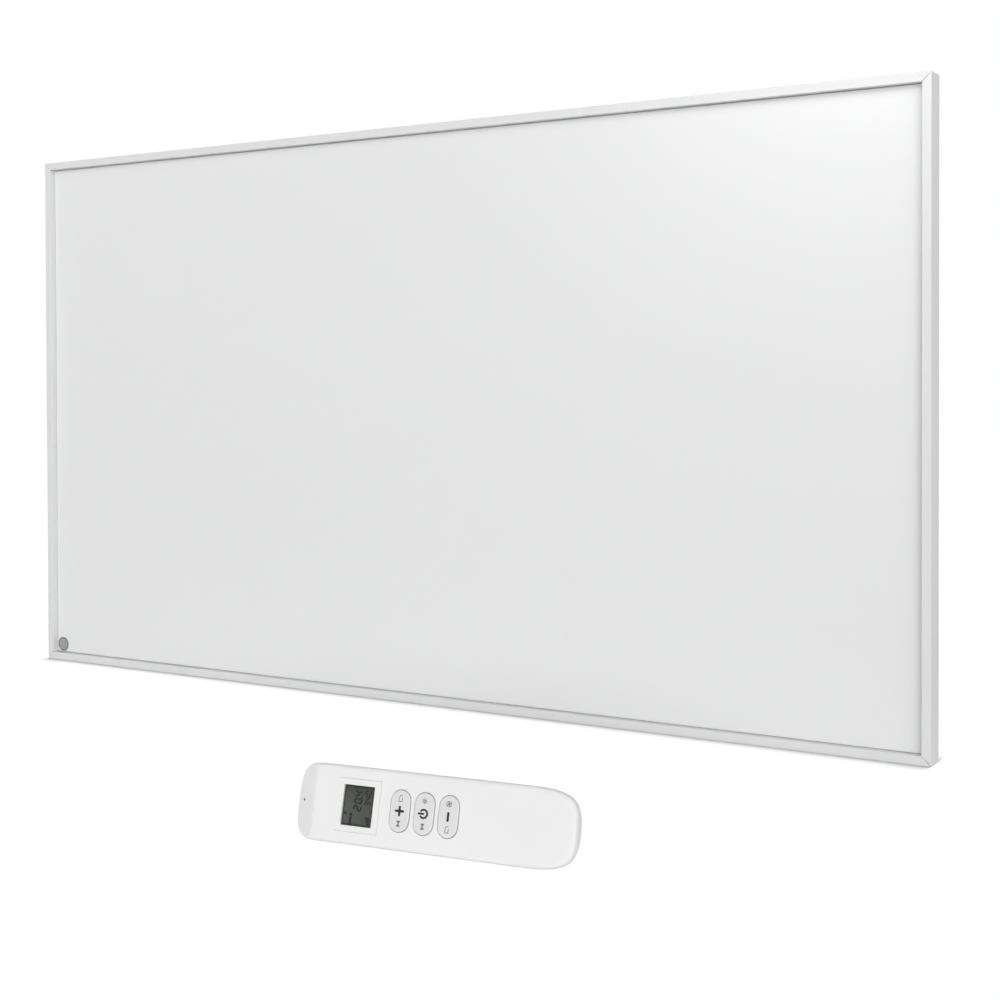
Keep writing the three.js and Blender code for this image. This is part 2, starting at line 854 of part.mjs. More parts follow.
// A lead rises from the track through the back plate and bends up to the block.
function makeLeads() {
  const start = trackFront + trackThickness + runningGap;
  const corner = circuitRear + terminalDepth / 2;
  const end = terminalBottom - runningGap;
  const sides = [
    { name: 'lead_live', side: -1, look: finishes.redLead },
    { name: 'lead_neutral', side: 1, look: finishes.blueLead },
  ];
  return sides.map(({ name, side, look }) => {
    const x = boxCentreX + side * leadSpacing / 2;
    const at = (y, z) => new THREE.Vector3(x, y, z);
    const path = new THREE.CurvePath();
    path.add(new THREE.LineCurve3(at(start, leadZ), at(corner - leadBendRadius, leadZ)));
    path.add(new THREE.QuadraticBezierCurve3(
      at(corner - leadBendRadius, leadZ),
      at(corner, leadZ),
      at(corner, leadZ + leadBendRadius),
    ));
    path.add(new THREE.LineCurve3(at(corner, leadZ + leadBendRadius), at(corner, end)));
    const section = new THREE.Shape().absarc(0, 0, leadDiameter / 2, 0, 2 * Math.PI);
    const options = {
      steps: leadSteps,
      curveSegments: leadSides,
      bevelEnabled: false,
      extrudePath: path,
    };
    return piece(name, new THREE.ExtrudeGeometry(section, options), look);
  });
}

// The gland is turned round Y here and then set upright, its collar below the box.
function makeGland() {
  const threadEnd = boxWall + glandNutThickness + glandPastNut;
  const collar = turned([
    [glandBore / 2, -glandCollarLength],
    [glandCollar / 2 - glandChamfer, -glandCollarLength],
    [glandCollar / 2, glandChamferLength - glandCollarLength],
    [glandCollar / 2, 0],
    [glandThread / 2, 0],
    [glandThread / 2, threadEnd],
    [glandBore / 2, threadEnd],
    [glandBore / 2, -glandCollarLength],
  ]);
  const nutHole = glandThread / 2 + runningGap;
  const nutPoints = [];
  const nutRadius = (nutHole + glandNutWall) / Math.cos(Math.PI / glandNutSides);
  for (let i = 0; i < glandNutSides; i += 1) {
    const angle = i * 2 * Math.PI / glandNutSides;
    nutPoints.push([nutRadius * Math.cos(angle), nutRadius * Math.sin(angle)]);
  }
  const nutShape = shapeOf(nutPoints);
  nutShape.holes.push(new THREE.Path().absarc(0, 0, nutHole, 0, 2 * Math.PI, true));
  const nutOptions = { depth: glandNutThickness, bevelEnabled: false, curveSegments: smallSteps };
  const nut = new THREE.ExtrudeGeometry(nutShape, nutOptions);
  const look = finishes.blackPlastic;
  const glandZ = boxBottom - sheetGap;
  const gland = piece('cable_gland', collar, look, glandX, boxMidDepth, glandZ);
  gland.rotation.x = Math.PI / 2;
  const nutZ = boxBottom + boxWall + sheetGap;
  return [gland, piece('gland_nut', nut, look, glandX, boxMidDepth, nutZ)];
}

const bezelTop = boxBottom - sheetGap;
const bezelFace = bezelTop - bezelThickness;
const rockerAxisZ = bezelFace + rockerAxisDepth;

// A box centred on the switch in X and Y, between two heights.
function switchBlock(width, depth, z0, z1) {
  return block(-width / 2, width / 2, -depth / 2, depth / 2, z0, z1);
}

function makeSwitchHousing() {
  const body = switchBlock(switchWidth, switchDepth, bezelFace, bezelTop + switchHeight);
  const bezel = switchBlock(bezelWidth, bezelDepth, bezelFace, bezelTop);
  const pocketTop = bezelFace + rockerPocketHeight;
  const pocket = switchBlock(
    rockerPocketWidth,
    rockerPocketDepth,
    bezelFace - cutPast,
    pocketTop,
  );
  const pinReach = switchDepth / 2 - rockerPinWall;
  const pinHole = barY(rockerPinRadius + runningGap, -pinReach, pinReach, 0, rockerAxisZ);
  const housing = cut(join(body, bezel), pocket, pinHole);
  return piece('switch_housing', housing, finishes.blackPlastic, switchX, boxMidDepth, 0);
}

// The rocker's section has two lobes and a shallow valley, and faces down. It is
// drawn level and turned about its pins to the side that is pressed at rest.
function makeSwitchRocker() {
  const half = rockerHalfLength;
  const section = shapeOf([
    [-half, -rockerCrown],
    [0, -rockerValley],
    [half, -rockerCrown],
    [rockerShoulderHalf, rockerShoulder],
    [rockerBackHalf, rockerBack],
    [-rockerBackHalf, rockerBack],
    [-rockerShoulderHalf, rockerShoulder],
  ]);
  const thickness = rockerPocketDepth / 2 - runningGap;
  const lobes = plateOf(section, -thickness, thickness);
  const pinEnd = thickness + rockerPinLength;
  const shape = join(lobes, barY(rockerPinRadius, -pinEnd, pinEnd, 0, 0));
  const look = finishes.blackPlastic;
  const rocker = piece('switch_rocker', shape, look, switchX, boxMidDepth, rockerAxisZ);
  rocker.rotation.y = -radians(rockerTilt);
  return rocker;
}

// ---------------------------------------------------------------- remote control

const headEnd = -remoteLength / 2;
const frameX = headEnd + frameFromHead;
const compartmentLength = batteryLength + contactSpringLength + contactNubLength
  + 2 * contactThickness + 4 * runningGap;
const compartmentEnd = remoteLength / 2 - compartmentFromTail;
const compartmentStart = compartmentEnd - compartmentLength;
const frontInner = remoteWall;
const taperSlope = Math.tan(radians(remoteTaper));

// The remote's outline, drawn in at its sides, head and tail. Each end is half of a
// rounded square whose corners are as full as its power is high.
function remoteOutline(side, head, tail) {
  const halfWidth = remoteWidth / 2 - side;
  const points = [];
  const addEnd = (middle, reach, power, from) => {
    for (let i = 0; i <= outlineSteps; i += 1) {
      const angle = from + i * Math.PI / outlineSteps;
      const along = Math.cos(angle);
      const across = Math.sin(angle);
      const x = Math.sign(along) * Math.abs(along) ** (2 / power) * reach;
      const z = Math.sign(across) * Math.abs(across) ** (2 / power) * halfWidth;
      points.push(new THREE.Vector2(middle + x, z));
    }
  };
  addEnd(remoteLength / 2 - tail - tailRound, tailRound, tailPower, -Math.PI / 2);
  addEnd(-remoteLength / 2 + head + headRound, headRound, headPower, Math.PI / 2);
  return points;
}

function remoteRings(rows, wall) {
  return rows.map(([depth, side, head, tail]) => (
    { depth, outline: remoteOutline(side + wall, head + wall, tail + wall) }
  ));
}

// Rows of depth and how far the sides, head and tail are drawn in there, which rounds
// the edge of the face.
const frontRows = [
  [remoteFrontDepth, 0, 0, 0],
  [3.6, 0, 0, 0],
  [2.4, 0.1, 0.1, 0.1],
  [1.5, 0.35, 0.35, 0.4],
  [0.8, 0.8, 0.8, 0.9],
  [0.3, 1.5, 1.5, 1.7],
  [0.08, 2.2, 2.2, 2.5],
  [0, 3, 3, 3.4],
];

// The wedge that is taken off the face at the head, where it falls away in a flat band
// behind a soft crease. It can be moved into the body by the given depth.
function headWedge(inward) {
  const far = remoteWidth;
  const row = (depth, reach) => {
    const start = headEnd - far;
    const end = headEnd + reach;
    const outline = [[start, -far], [end, -far], [end, far], [start, far]];
    return { depth: depth + inward, outline: outline.map(([x, z]) => new THREE.Vector2(x, z)) };
  };
  const reachAt = (depth) => headFall * (1 - depth / headDrop);
  const crease = headFall + creaseLength;
  return loft([
    row(headDrop + cutPast, reachAt(headDrop + cutPast)),
    row(creaseDepth, reachAt(creaseDepth)),
    row(0, crease),
    row(-cutPast - inward, crease),
  ]);
}

function faceDepthAt(fromHead) {
  return headDrop * (1 - fromHead / headFall);
}


function taperAt(depth) {
  return (depth - remoteFrontDepth) * taperSlope;
}

const backRows = [
  [remoteDepth, taperAt(remoteDepth) + rearRound, 9, 8],
  [remoteDepth - rearRoundFlat, taperAt(remoteDepth) + rearRound / 2, 7, 6],
  [remoteDepth - rearRound, taperAt(remoteDepth - rearRound), 4.6, 4],
  [remoteFrontDepth + seamGap, taperAt(remoteFrontDepth + seamGap), 0, 0],
];

// A pill-shaped outline across the remote, drawn in by the given amount.
function pillOutline(x, width, length, inset) {
  const radius = width / 2 - inset;
  const middle = length / 2 - width / 2;
  const points = [];
  for (let half = 0; half < 2; half += 1) {
    for (let i = 0; i <= pillSteps; i += 1) {
      const angle = half * Math.PI + i * Math.PI / pillSteps;
      const side = half === 0 ? 1 : -1;
      const z = side * middle + radius * Math.sin(angle);
      points.push(new THREE.Vector2(x + radius * Math.cos(angle), z));
    }
  }
  return points;
}

const buttonNames = ['button_plus', 'button_power', 'button_minus'];

function buttonPlace(i) {
  return frameX + buttonsFromFrame + i * buttonPitch;
}

const buttonFlangeFront = frontInner + runningGap;
const buttonFlangeRear = buttonFlangeFront + buttonFlangeThickness;
const boardRear = remoteFrontDepth + seamGap + boardBehindSeam;
const remoteBoardFront = boardRear - remoteBoardThickness;
const matFront = remoteBoardFront - sheetGap * 2 - matThickness;
const stemEnd = matFront - buttonTravel - runningGap;

function makeButtons() {
  return buttonNames.map((name, i) => {
    const ring = (depth, inset) => (
      { depth, outline: pillOutline(0, buttonWidth, buttonLength, inset) }
    );
    const edge = [];
    for (let step = 0; step <= buttonRoundSteps; step += 1) {
      const angle = step / buttonRoundSteps * Math.PI / 2;
      const depth = buttonRoundDepth * (1 - Math.sin(angle)) - buttonProud;
      edge.push(ring(depth, buttonRoundReach * (1 - Math.cos(angle))));
    }
    const cap = loft([
      ring(stemEnd, buttonStemInset),
      ring(buttonFlangeRear, buttonStemInset),
      ring(buttonFlangeRear, -buttonFlange),
      ring(buttonFlangeFront, -buttonFlange),
      ring(buttonFlangeFront, 0),
      ...edge,
    ]);
    return piece(name, cap, finishes.whitePlastic, buttonPlace(i), 0, 0);
  });
}

const rearInner = remoteDepth - remoteWall;
const screwPlaces = [
  { name: 'remote_screw_head', x: headEnd + screwFromHead },
  { name: 'remote_screw_tail', x: compartmentStart - screwFromCompartment },
];
const screwSeat = remoteDepth - remoteScrewRecess;

const senderX = headEnd + senderFromHead;
const senderTip = faceDepthAt(senderFromHead) + senderSetBack;

function makeRemoteFront() {
  const outer = cut(loft(remoteRings(frontRows, 0)), headWedge(0));
  const roomRows = [
    [remoteFrontDepth + cutPast, 0, 0, 0],
    [4.4, 0, 0, 0],
    [frontInner, 0.6, 0.6, 0.7],
  ];
  const room = cut(loft(remoteRings(roomRows, remoteWall)), headWedge(remoteWall));
  const windowWidth = frameWidth + 2 * frameClearance;
  const windowHeight = frameHeight + 2 * frameClearance;
  const holeRear = frontInner + cutPast;
  const window = slab(windowWidth, windowHeight, -cutPast, holeRear, frameX);
  const holes = buttonNames.map((name, i) => {
    const width = buttonWidth + 2 * buttonClearance;
    const length = buttonLength + 2 * buttonClearance;
    const outline = pillOutline(buttonPlace(i), width, length, 0);
    return loft([{ depth: holeRear, outline }, { depth: -cutPast, outline }]);
  });
  const senderHole = barY(senderDiameter / 2 + senderClearance, -cutPast,
    senderTip + senderLength, senderX, 0);
  const bosses = screwPlaces.map((place) => (
    barY(remoteBossRadius, remoteWall / 2, remoteBossSplit, place.x, 0)
  ));
  const holeRadius = remoteScrewShank / 2 + runningGap;
  const bossHoles = screwPlaces.map((place) => (
    barY(holeRadius, bossHoleFront, remoteBossSplit + cutPast, place.x, 0)
  ));
  const shell = join(cut(outer, room), ...bosses);
  const front = cut(shell, window, ...holes, senderHole, ...bossHoles);
  return piece('remote_front_shell', front, finishes.whitePlastic);
}

function makeSender() {
  const end = senderTip + senderLength;
  const bulb = barY(senderDiameter / 2, senderTip, end, senderX, 0);
  return piece('remote_sender', bulb, finishes.blackPlastic);
}

const doorFront = remoteDepth - doorThickness;
const compartmentHalf = batterySpacing / 2 + batteryDiameter / 2 + runningGap;
const batteryAxis = doorFront - batteryFromDoor - batteryDiameter / 2;
const compartmentFloor = batteryAxis - batteryDiameter / 2 - runningGap;
const doorHalf = compartmentHalf + doorMargin;

function makeRemoteBack() {
  const outer = loft(remoteRings(backRows, 0));
  const openFront = remoteFrontDepth + seamGap - cutPast;
  const past = remoteDepth + cutPast;
  const inWall = remoteDepth - remoteWall / 2;
  const roomRows = [
    [rearInner, taperAt(rearInner), 5.5, 5],
    [openFront, taperAt(openFront), 0, 0],
  ];
  const room = loft(remoteRings(roomRows, remoteWall));
  const wall = compartmentWall;
  const tray = block(compartmentStart - wall, compartmentEnd + wall, compartmentFloor - wall,
    inWall, -compartmentHalf - wall, compartmentHalf + wall);
  const well = block(compartmentStart, compartmentEnd, compartmentFloor, past,
    -compartmentHalf, compartmentHalf);
  const doorSeat = block(compartmentStart - doorMargin, compartmentEnd + doorMargin,
    doorFront - runningGap, past, -doorHalf, doorHalf);
  const shaftRadius = remoteScrewHead / 2 + runningGap;
  const tubes = screwPlaces.map((place) => (
    barY(shaftRadius + screwTubeWall, remoteBossSplit + runningGap, inWall, place.x, 0)
  ));
  const posts = [-1, 1].flatMap((side) => postsFromHead.map((x) => (
    barY(postRadius, boardRear + 2 * sheetGap, inWall, headEnd + x, side * postFromAxis)
  )));
  const shafts = screwPlaces.flatMap((place) => [
    barY(shaftRadius, screwSeat, past, place.x, 0),
    barY(remoteScrewShank / 2 + runningGap, 0, remoteDepth, place.x, 0),
  ]);
  const shell = join(cut(outer, room), tray, ...tubes, ...posts);
  return piece('remote_back_shell', cut(shell, well, doorSeat, ...shafts),
    finishes.whitePlastic);
}

// The door lies in its seat flush with the shell, with a row of grooves for the thumb.
function makeBatteryDoor() {
  const half = doorHalf - doorGap;
  const start = compartmentStart - doorMargin + doorGap;
  const end = compartmentEnd + doorMargin - doorGap;
  const leaf = block(start, end, doorFront, remoteDepth, -half, half);
  const grooves = [];
  for (let i = 0; i < gripCount; i += 1) {
    const x = start + gripFromEnd + i * gripPitch;
    grooves.push(slab(gripWidth, gripLength, remoteDepth - gripDepth, remoteDepth + cutPast, x));
  }
  return piece('battery_door', cut(leaf, ...grooves), finishes.whitePlastic);
}

function makeBatteries() {
  const from = compartmentStart + contactThickness + contactSpringLength + 2 * runningGap;
  const to = from + batteryLength;
  const canEnd = to - batteryNubLength;
  const radius = batteryDiameter / 2;
  return [-1, 1].map((side) => {
    const profile = [
      [0, from],
      [radius - batteryEdge, from],
      [radius, from + batteryEdge],
      [radius, canEnd - batteryEdge],
      [radius - batteryEdge, canEnd],
      [batteryNubRadius, canEnd],
      [batteryNubRadius, to],
      [0, to],
    ];
    const cell = turned(profile, smallSteps).rotateZ(-Math.PI / 2);
    const name = side < 0 ? 'battery_lower' : 'battery_upper';
    const z = side * batterySpacing / 2;
    return piece(name, cell, finishes.battery, 0, batteryAxis, z);
  });
}

// One contact plate at each end of the compartment, bridging both cells.
function makeContacts() {
  const reach = batterySpacing / 2 + contactPastCell;
  const low = batteryAxis - contactHalfHeight;
  const high = batteryAxis + contactHalfHeight;
  const start = compartmentStart + runningGap;
  const end = compartmentEnd - runningGap;
  const plate = (x0, x1) => block(x0, x1, low, high, -reach, reach);
  const studs = (radius, x0, x1) => [-1, 1].map((side) => (
    barX(radius, x0, x1, batteryAxis, side * batterySpacing / 2)
  ));
  const springEnd = start + contactThickness + contactSpringLength - runningGap;
  const nubStart = end - contactThickness - contactNubLength + runningGap;
  const springPlate = plate(start, start + contactThickness);
  const nubPlate = plate(end - contactThickness, end);
  const springs = join(springPlate, ...studs(contactSpringRadius, start, springEnd));
  const nubs = join(nubPlate, ...studs(contactNubRadius, nubStart, end));
  return [
    piece('battery_spring_plate', springs, finishes.steel),
    piece('battery_contact_plate', nubs, finishes.brass),
  ];
}

function makeDisplay() {
  const glassWidth = frameWidth - 2 * frameBorderX;
  const glassHeight = frameHeight - 2 * frameBorderZ;
  const border = slab(frameWidth, frameHeight, -frameProud, frameThickness);
  const opening = slab(glassWidth, glassHeight, -cutPast, frameThickness + cutPast);
  const frame = cut(border, opening);
  const glass = slab(glassWidth - 2 * runningGap, glassHeight - 2 * runningGap, 0,
    glassThickness);
  const moduleFront = frameThickness + runningGap;
  const moduleRear = remoteBoardFront - runningGap;
  const module = slab(frameWidth - moduleMargin, frameHeight - moduleMargin, moduleFront,
    moduleRear);
  return [
    piece('display_frame', frame, finishes.whitePlastic, frameX),
    piece('display_glass', glass, finishes.displayGlass, frameX, glassRecess, 0),
    piece('display_module', module, finishes.blackPlastic, frameX),
  ];
}

function makeRemoteBoard() {
  const half = remoteBoardWidth / 2;
  const board = block(headEnd + boardFromHead, compartmentStart - boardFromCompartment,
    remoteBoardFront, boardRear, -half, half);
  const clearances = screwPlaces.map((place) => (
    barY(remoteBossRadius + runningGap, 0, remoteDepth, place.x, 0)
  ));
  return piece('remote_board', cut(board, ...clearances), finishes.greenBoard);
}

// The mat lies behind the buttons and ends just before the boss of the tail screw.
function makeKeypadMat() {
  const half = matWidth / 2;
  const first = buttonPlace(0) - buttonPitch / 2;
  const last = compartmentStart - screwFromCompartment - remoteBossRadius - matFromBoss;
  const mat = block(first, last, matFront, matFront + matThickness, -half, half);
  return piece('keypad_mat', mat, finishes.greyRubber);
}

function makeRemoteScrews() {
  const length = screwSeat - remoteScrewTip;
  return screwPlaces.map((place) => {
    const height = remoteScrewHeadHeight;
    const screw = screwGeometry(remoteScrewHead, height, remoteScrewShank, length);
    return piece(place.name, screw, finishes.steel, place.x, screwSeat + sheetGap, 0);
  });
}

// ---------------------------------------------------------------- assembly

const panel = new THREE.Group();
panel.position.y = -(wallGap + panelDepth);
panel.add(
  ...makeRails(),
  ...makeCornerKeys(),
  makeFrontPlate(),
  makeCornerDisc(),
  makeHeatingBoard(),
  makeHeatingTrack(),
  makeFoil(),
  makeInsulation(),
  makeThermalCutout(),
  makeBackPlate(),
  ...makeWallFixings(),
  makeControlBoxBase(),
  makeControlBoxLid(),
  ...makeLidScrews(),
  ...makeCircuit(),
  makeTerminalBlock(),
  ...makeLeads(),
  ...makeGland(),
  makeSwitchHousing(),
  makeSwitchRocker(),
);

// The remote stands on its tapered side, level with the bottom of the panel, so its
// face leans back by the taper.
const remote = new THREE.Group();
const lean = radians(remoteTaper);
const standingHeight = remoteWidth / 2 * Math.cos(lean) + remoteFrontDepth * Math.sin(lean);
remote.rotation.order = 'ZXY';
remote.rotation.set(-lean, 0, radians(remoteTurn));
remote.position.set(
  remoteX,
  -(wallGap + panelDepth + remoteFromFront),
  -panelHeight / 2 + standingHeight,
);
remote.add(
  makeRemoteFront(),
  makeRemoteBack(),
  makeBatteryDoor(),
  ...makeDisplay(),
  ...makeButtons(),
  makeKeypadMat(),
  makeRemoteBoard(),
  makeSender(),
  ...makeBatteries(),
  ...makeContacts(),
  ...makeRemoteScrews(),
);

const heater = new THREE.Group();
heater.add(panel, remote);

export default heater;
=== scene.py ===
# %% [markdown]
# # An infrared panel heater and its hand remote
#
# The real heater is a flat steel plate, warmed from behind and coated with white powder
# paint, in a mitred aluminium frame. It hangs a finger's width off the wall, and a white
# remote control stands in front of it. Nearly everything is white, so the picture lives on
# soft gradients, thin shadow gaps and small dark marks.
#
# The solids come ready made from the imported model. They could be modelled again here, but
# they already have the true sizes, so this script only finishes their edges and
# surfaces and adds what is too fine for them: prints, digits, rivets, screw heads and ribs.

# %% Load the solids
import json
import math

import bmesh
import bpy
from mathutils import Matrix, Vector


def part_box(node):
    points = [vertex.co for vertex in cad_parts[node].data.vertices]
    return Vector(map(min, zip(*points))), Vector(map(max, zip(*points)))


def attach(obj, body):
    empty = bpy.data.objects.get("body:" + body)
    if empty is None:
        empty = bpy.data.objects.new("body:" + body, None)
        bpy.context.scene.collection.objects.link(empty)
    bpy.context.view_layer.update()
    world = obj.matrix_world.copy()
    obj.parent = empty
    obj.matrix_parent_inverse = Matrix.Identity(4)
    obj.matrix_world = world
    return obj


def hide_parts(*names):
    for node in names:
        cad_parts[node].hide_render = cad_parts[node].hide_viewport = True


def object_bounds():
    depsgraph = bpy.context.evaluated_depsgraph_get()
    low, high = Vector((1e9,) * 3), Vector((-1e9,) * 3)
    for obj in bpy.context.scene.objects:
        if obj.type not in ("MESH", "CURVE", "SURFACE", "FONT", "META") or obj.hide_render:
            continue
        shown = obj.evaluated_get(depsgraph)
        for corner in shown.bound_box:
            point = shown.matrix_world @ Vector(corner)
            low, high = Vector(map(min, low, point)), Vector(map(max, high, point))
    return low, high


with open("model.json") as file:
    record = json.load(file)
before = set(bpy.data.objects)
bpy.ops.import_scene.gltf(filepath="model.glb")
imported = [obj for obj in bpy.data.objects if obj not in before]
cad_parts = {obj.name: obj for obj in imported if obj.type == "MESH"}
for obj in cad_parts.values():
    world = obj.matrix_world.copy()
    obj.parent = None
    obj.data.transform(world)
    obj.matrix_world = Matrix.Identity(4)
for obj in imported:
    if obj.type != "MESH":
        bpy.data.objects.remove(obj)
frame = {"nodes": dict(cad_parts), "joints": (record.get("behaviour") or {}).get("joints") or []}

MM = 0.001

nodes = frame["nodes"]
cad_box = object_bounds()
floor_height = cad_box[0].z
print(len(nodes), "solids, lowest point at", round(floor_height, 4), "m")

# %% [markdown]
# ## The camera
#
# The photograph looks at the panel from its right, a little above its middle, through a
# fairly long lens. The camera could be set by eye, but four corners of the frame are
# enough to work it out exactly. Vertical edges stay upright although the panel sits high
# in the picture, which a level camera with a shifted lens gives.

# %% Camera
PICTURE = 1000

camera_place = Vector((0.78362, -1.17652, 0.0275))
camera_yaw = math.radians(-31.445)
camera_pitch = math.radians(-0.851)
camera_roll = math.radians(-0.164)
focal_pixels = 1596.9
optical_row = 406.65


def camera_matrix(place, yaw, pitch, roll):
    """The camera looks along -Z of its own axes, with +Y up."""
    forward = Vector((
        math.sin(yaw) * math.cos(pitch),
        math.cos(yaw) * math.cos(pitch),
        math.sin(pitch),
    ))
    level = Vector((math.cos(yaw), -math.sin(yaw), 0))
    upright = level.cross(forward)
    right = math.cos(roll) * level + math.sin(roll) * upright
    up = math.cos(roll) * upright - math.sin(roll) * level
    matrix = Matrix((right, up, -forward)).transposed().to_4x4()
    matrix.translation = place
    return matrix


def new_object(name, data):
    """Makes an object and puts it in the scene."""
    made = bpy.data.objects.new(name, data)
    bpy.context.scene.collection.objects.link(made)
    return made


lens = bpy.data.cameras.new("photo_lens")
lens.sensor_width = 36
lens.lens = lens.sensor_width * focal_pixels / PICTURE
lens.shift_y = (optical_row - PICTURE / 2) / PICTURE
camera = new_object("photo_camera", lens)
camera.matrix_world = camera_matrix(camera_place, camera_yaw, camera_pitch, camera_roll)
bpy.context.scene.camera = camera
bpy.context.scene.view_settings.view_transform = "Standard"
print("lens", round(lens.lens, 2), "mm, shift", round(lens.shift_y, 4))

# %% [markdown]
# ## Building shader trees
#
# Node trees can be clicked together by hand or written out line by line. A small helper
# that makes a node, sets its values and connects its inputs keeps each recipe readable:
# an input that is given a socket is linked, and any other value is simply set.


# %% Node helpers
def add(tree, kind, inputs=None, **settings):
    node = tree.nodes.new(kind)
    for name, value in settings.items():
        setattr(node, name, value)
    for name, value in (inputs or {}).items():
        if isinstance(value, bpy.types.NodeSocket):
            tree.links.new(value, node.inputs[name])
        else:
            node.inputs[name].default_value = value
    return node


def math_node(tree, operation, first, second=0.0):
    return add(tree, "ShaderNodeMath", {0: first, 1: second}, operation=operation).outputs[0]


def dot_node(tree, first, second):
    inputs = {0: first, 1: second}
    return add(tree, "ShaderNodeVectorMath", inputs, operation="DOT_PRODUCT").outputs["Value"]


def spread(tree, value, low, high, to_low=0.0, to_high=1.0):
    """Maps the stretch of a value from low to high onto another range, and clamps it."""
    inputs = {"Value": value, "From Min": low, "From Max": high}
    inputs |= {"To Min": to_low, "To Max": to_high}
    return add(tree, "ShaderNodeMapRange", inputs).outputs["Result"]


def blend_colors(tree, mask, first, second):
    node = add(tree, "ShaderNodeMix", data_type="RGBA")
    for socket, value in ((0, mask), (6, first), (7, second)):
        if isinstance(value, bpy.types.NodeSocket):
            tree.links.new(value, node.inputs[socket])
        else:
            node.inputs[socket].default_value = value if socket == 0 else (*value, 1)
    return node.outputs[2]


def own_coordinates(tree):
    return add(tree, "ShaderNodeTexCoord").outputs["Object"]


def red_part(tree, color):
    return add(tree, "ShaderNodeSeparateColor", {0: color}).outputs[0]


# %% [markdown]
# ## Floor, backdrop and light
#
# The heater stands in a white studio: no horizon, hardly a shadow, and soft light. A white
# room could be modelled, but a world that looks white to the camera and shines less on the
# object does the same without clipping its pale paint. Over that even light the world has
# two wide glows, from the front and from the right, so that faces turned different ways
# come out in different greys. A small lamp lifts the upper right corner.
#
# The floor is a real surface that catches shadows. Towards the camera most of it is
# replaced by plain white, so that shadows stay but are as faint as in the picture. Only
# the thin dark line along the foot of the panel is let through in full: ambient
# occlusion finds it, within about two centimetres of the rail. That line is partly real
# shadow and partly painted shadow, because the floor's own colour is made darker there too.


# %% Floor and world
def seen_directly(tree):
    """1 for rays that come from the camera, a mirror or glass, and 0 for scattered light."""
    path = add(tree, "ShaderNodeLightPath").outputs
    seen = math_node(tree, "MAXIMUM", path["Is Camera Ray"], path["Is Glossy Ray"])
    return math_node(tree, "MAXIMUM", seen, path["Is Transmission Ray"])


def sky_glow(tree, direction, aim, sharpness, strength):
    """A wide soft glow in the white world, strongest in one direction."""
    toward = dot_node(tree, direction, tuple(Vector(aim).normalized()))
    glow = math_node(tree, "POWER", math_node(tree, "MAXIMUM", toward, 0.0), sharpness)
    return math_node(tree, "MULTIPLY", glow, strength)


def make_world(strength, glows):
    world = bpy.data.worlds.new("white_studio")
    world.use_nodes = True
    tree = world.node_tree
    around = tree.nodes["Background"]
    around.inputs["Color"].default_value = (1, 1, 1, 1)
    direction = add(tree, "ShaderNodeTexCoord").outputs["Generated"]
    total = strength
    for glow in glows:
        total = math_node(tree, "ADD", sky_glow(tree, direction, **glow), total)
    tree.links.new(total, around.inputs["Strength"])
    white = add(tree, "ShaderNodeBackground", {"Strength": 1.0, "Color": (1, 1, 1, 1)})
    inputs = {0: seen_directly(tree), 1: around.outputs[0], 2: white.outputs[0]}
    mix = add(tree, "ShaderNodeMixShader", inputs)
    tree.links.new(mix.outputs[0], tree.nodes["World Output"].inputs["Surface"])
    bpy.context.scene.world = world


foot_reach = 24 * MM
foot_front = -100 * MM


def foot_line(tree):
    """A mask of the floor close to the foot of the panel, highest right at the rail."""
    shade = add(tree, "ShaderNodeAmbientOcclusion", {"Distance": foot_reach}, samples=8)
    close = spread(tree, shade.outputs["AO"], 0.98, 0.66)
    axes = add(tree, "ShaderNodeSeparateXYZ", {0: own_coordinates(tree)}).outputs
    sideways = math_node(tree, "ABSOLUTE", axes["X"])
    within = math_node(tree, "LESS_THAN", sideways, cad_box[1].x)
    near_panel = math_node(tree, "GREATER_THAN", axes["Y"], foot_front)
    along_foot = math_node(tree, "MULTIPLY", within, near_panel)
    return math_node(tree, "MULTIPLY", close, along_foot)


def make_floor(size, height, shadow_share, tone, foot_shadow_tone, white_strength):
    material = bpy.data.materials.new("studio_floor")
    material.use_nodes = True
    tree = material.node_tree
    paint = tree.nodes["Principled BSDF"]
    paint.inputs["Roughness"].default_value = 0.9
    paint.inputs["Specular IOR Level"].default_value = 0.1
    foot = foot_line(tree)
    # painted shadow: near the foot of the panel the floor's own colour is made darker
    color = blend_colors(tree, foot, (tone,) * 3, (foot_shadow_tone,) * 3)
    tree.links.new(color, paint.inputs["Base Color"])
    white = add(tree, "ShaderNodeEmission", {"Strength": white_strength})
    seen = math_node(tree, "MULTIPLY", seen_directly(tree), 1 - shadow_share)
    open_floor = math_node(tree, "SUBTRACT", 1.0, foot)
    whitened = math_node(tree, "MULTIPLY", seen, open_floor)
    inputs = {0: whitened, 1: paint.outputs[0], 2: white.outputs[0]}
    mix = add(tree, "ShaderNodeMixShader", inputs)
    tree.links.new(mix.outputs[0], tree.nodes["Material Output"].inputs["Surface"])
    mesh = bpy.data.meshes.new("studio_floor")
    half = size / 2
    corners = [(-half, -half, height), (half, -half, height), (half, half, height)]
    mesh.from_pydata([*corners, (-half, half, height)], [], [(0, 1, 2, 3)])
    mesh.materials.append(material)
    floor = new_object("studio_floor", mesh)


front_glow = {"aim": (0.4226, -0.9063, 0.0), "sharpness": 8.0, "strength": 4.47}
right_glow = {"aim": (0.7618, -0.6393, 0.1045), "sharpness": 12.0, "strength": 2.40}
make_world(strength=0.3, glows=[front_glow, right_glow])
make_floor(size=14, height=floor_height, shadow_share=0.3, tone=0.86, foot_shadow_tone=0.66,
           white_strength=1.3)
print("floor at", round(floor_height, 4), "m")


# %% Lamps
def soft_lamp(name, place, target, size, power):
    data = bpy.data.lights.new(name, "AREA")
    data.shape = "SQUARE"
    data.size = size
    data.energy = power
    lamp = new_object(name, data)
    direction = Vector(target) - Vector(place)
    lamp.location = place
    lamp.rotation_euler = direction.to_track_quat("-Z", "Y").to_euler()


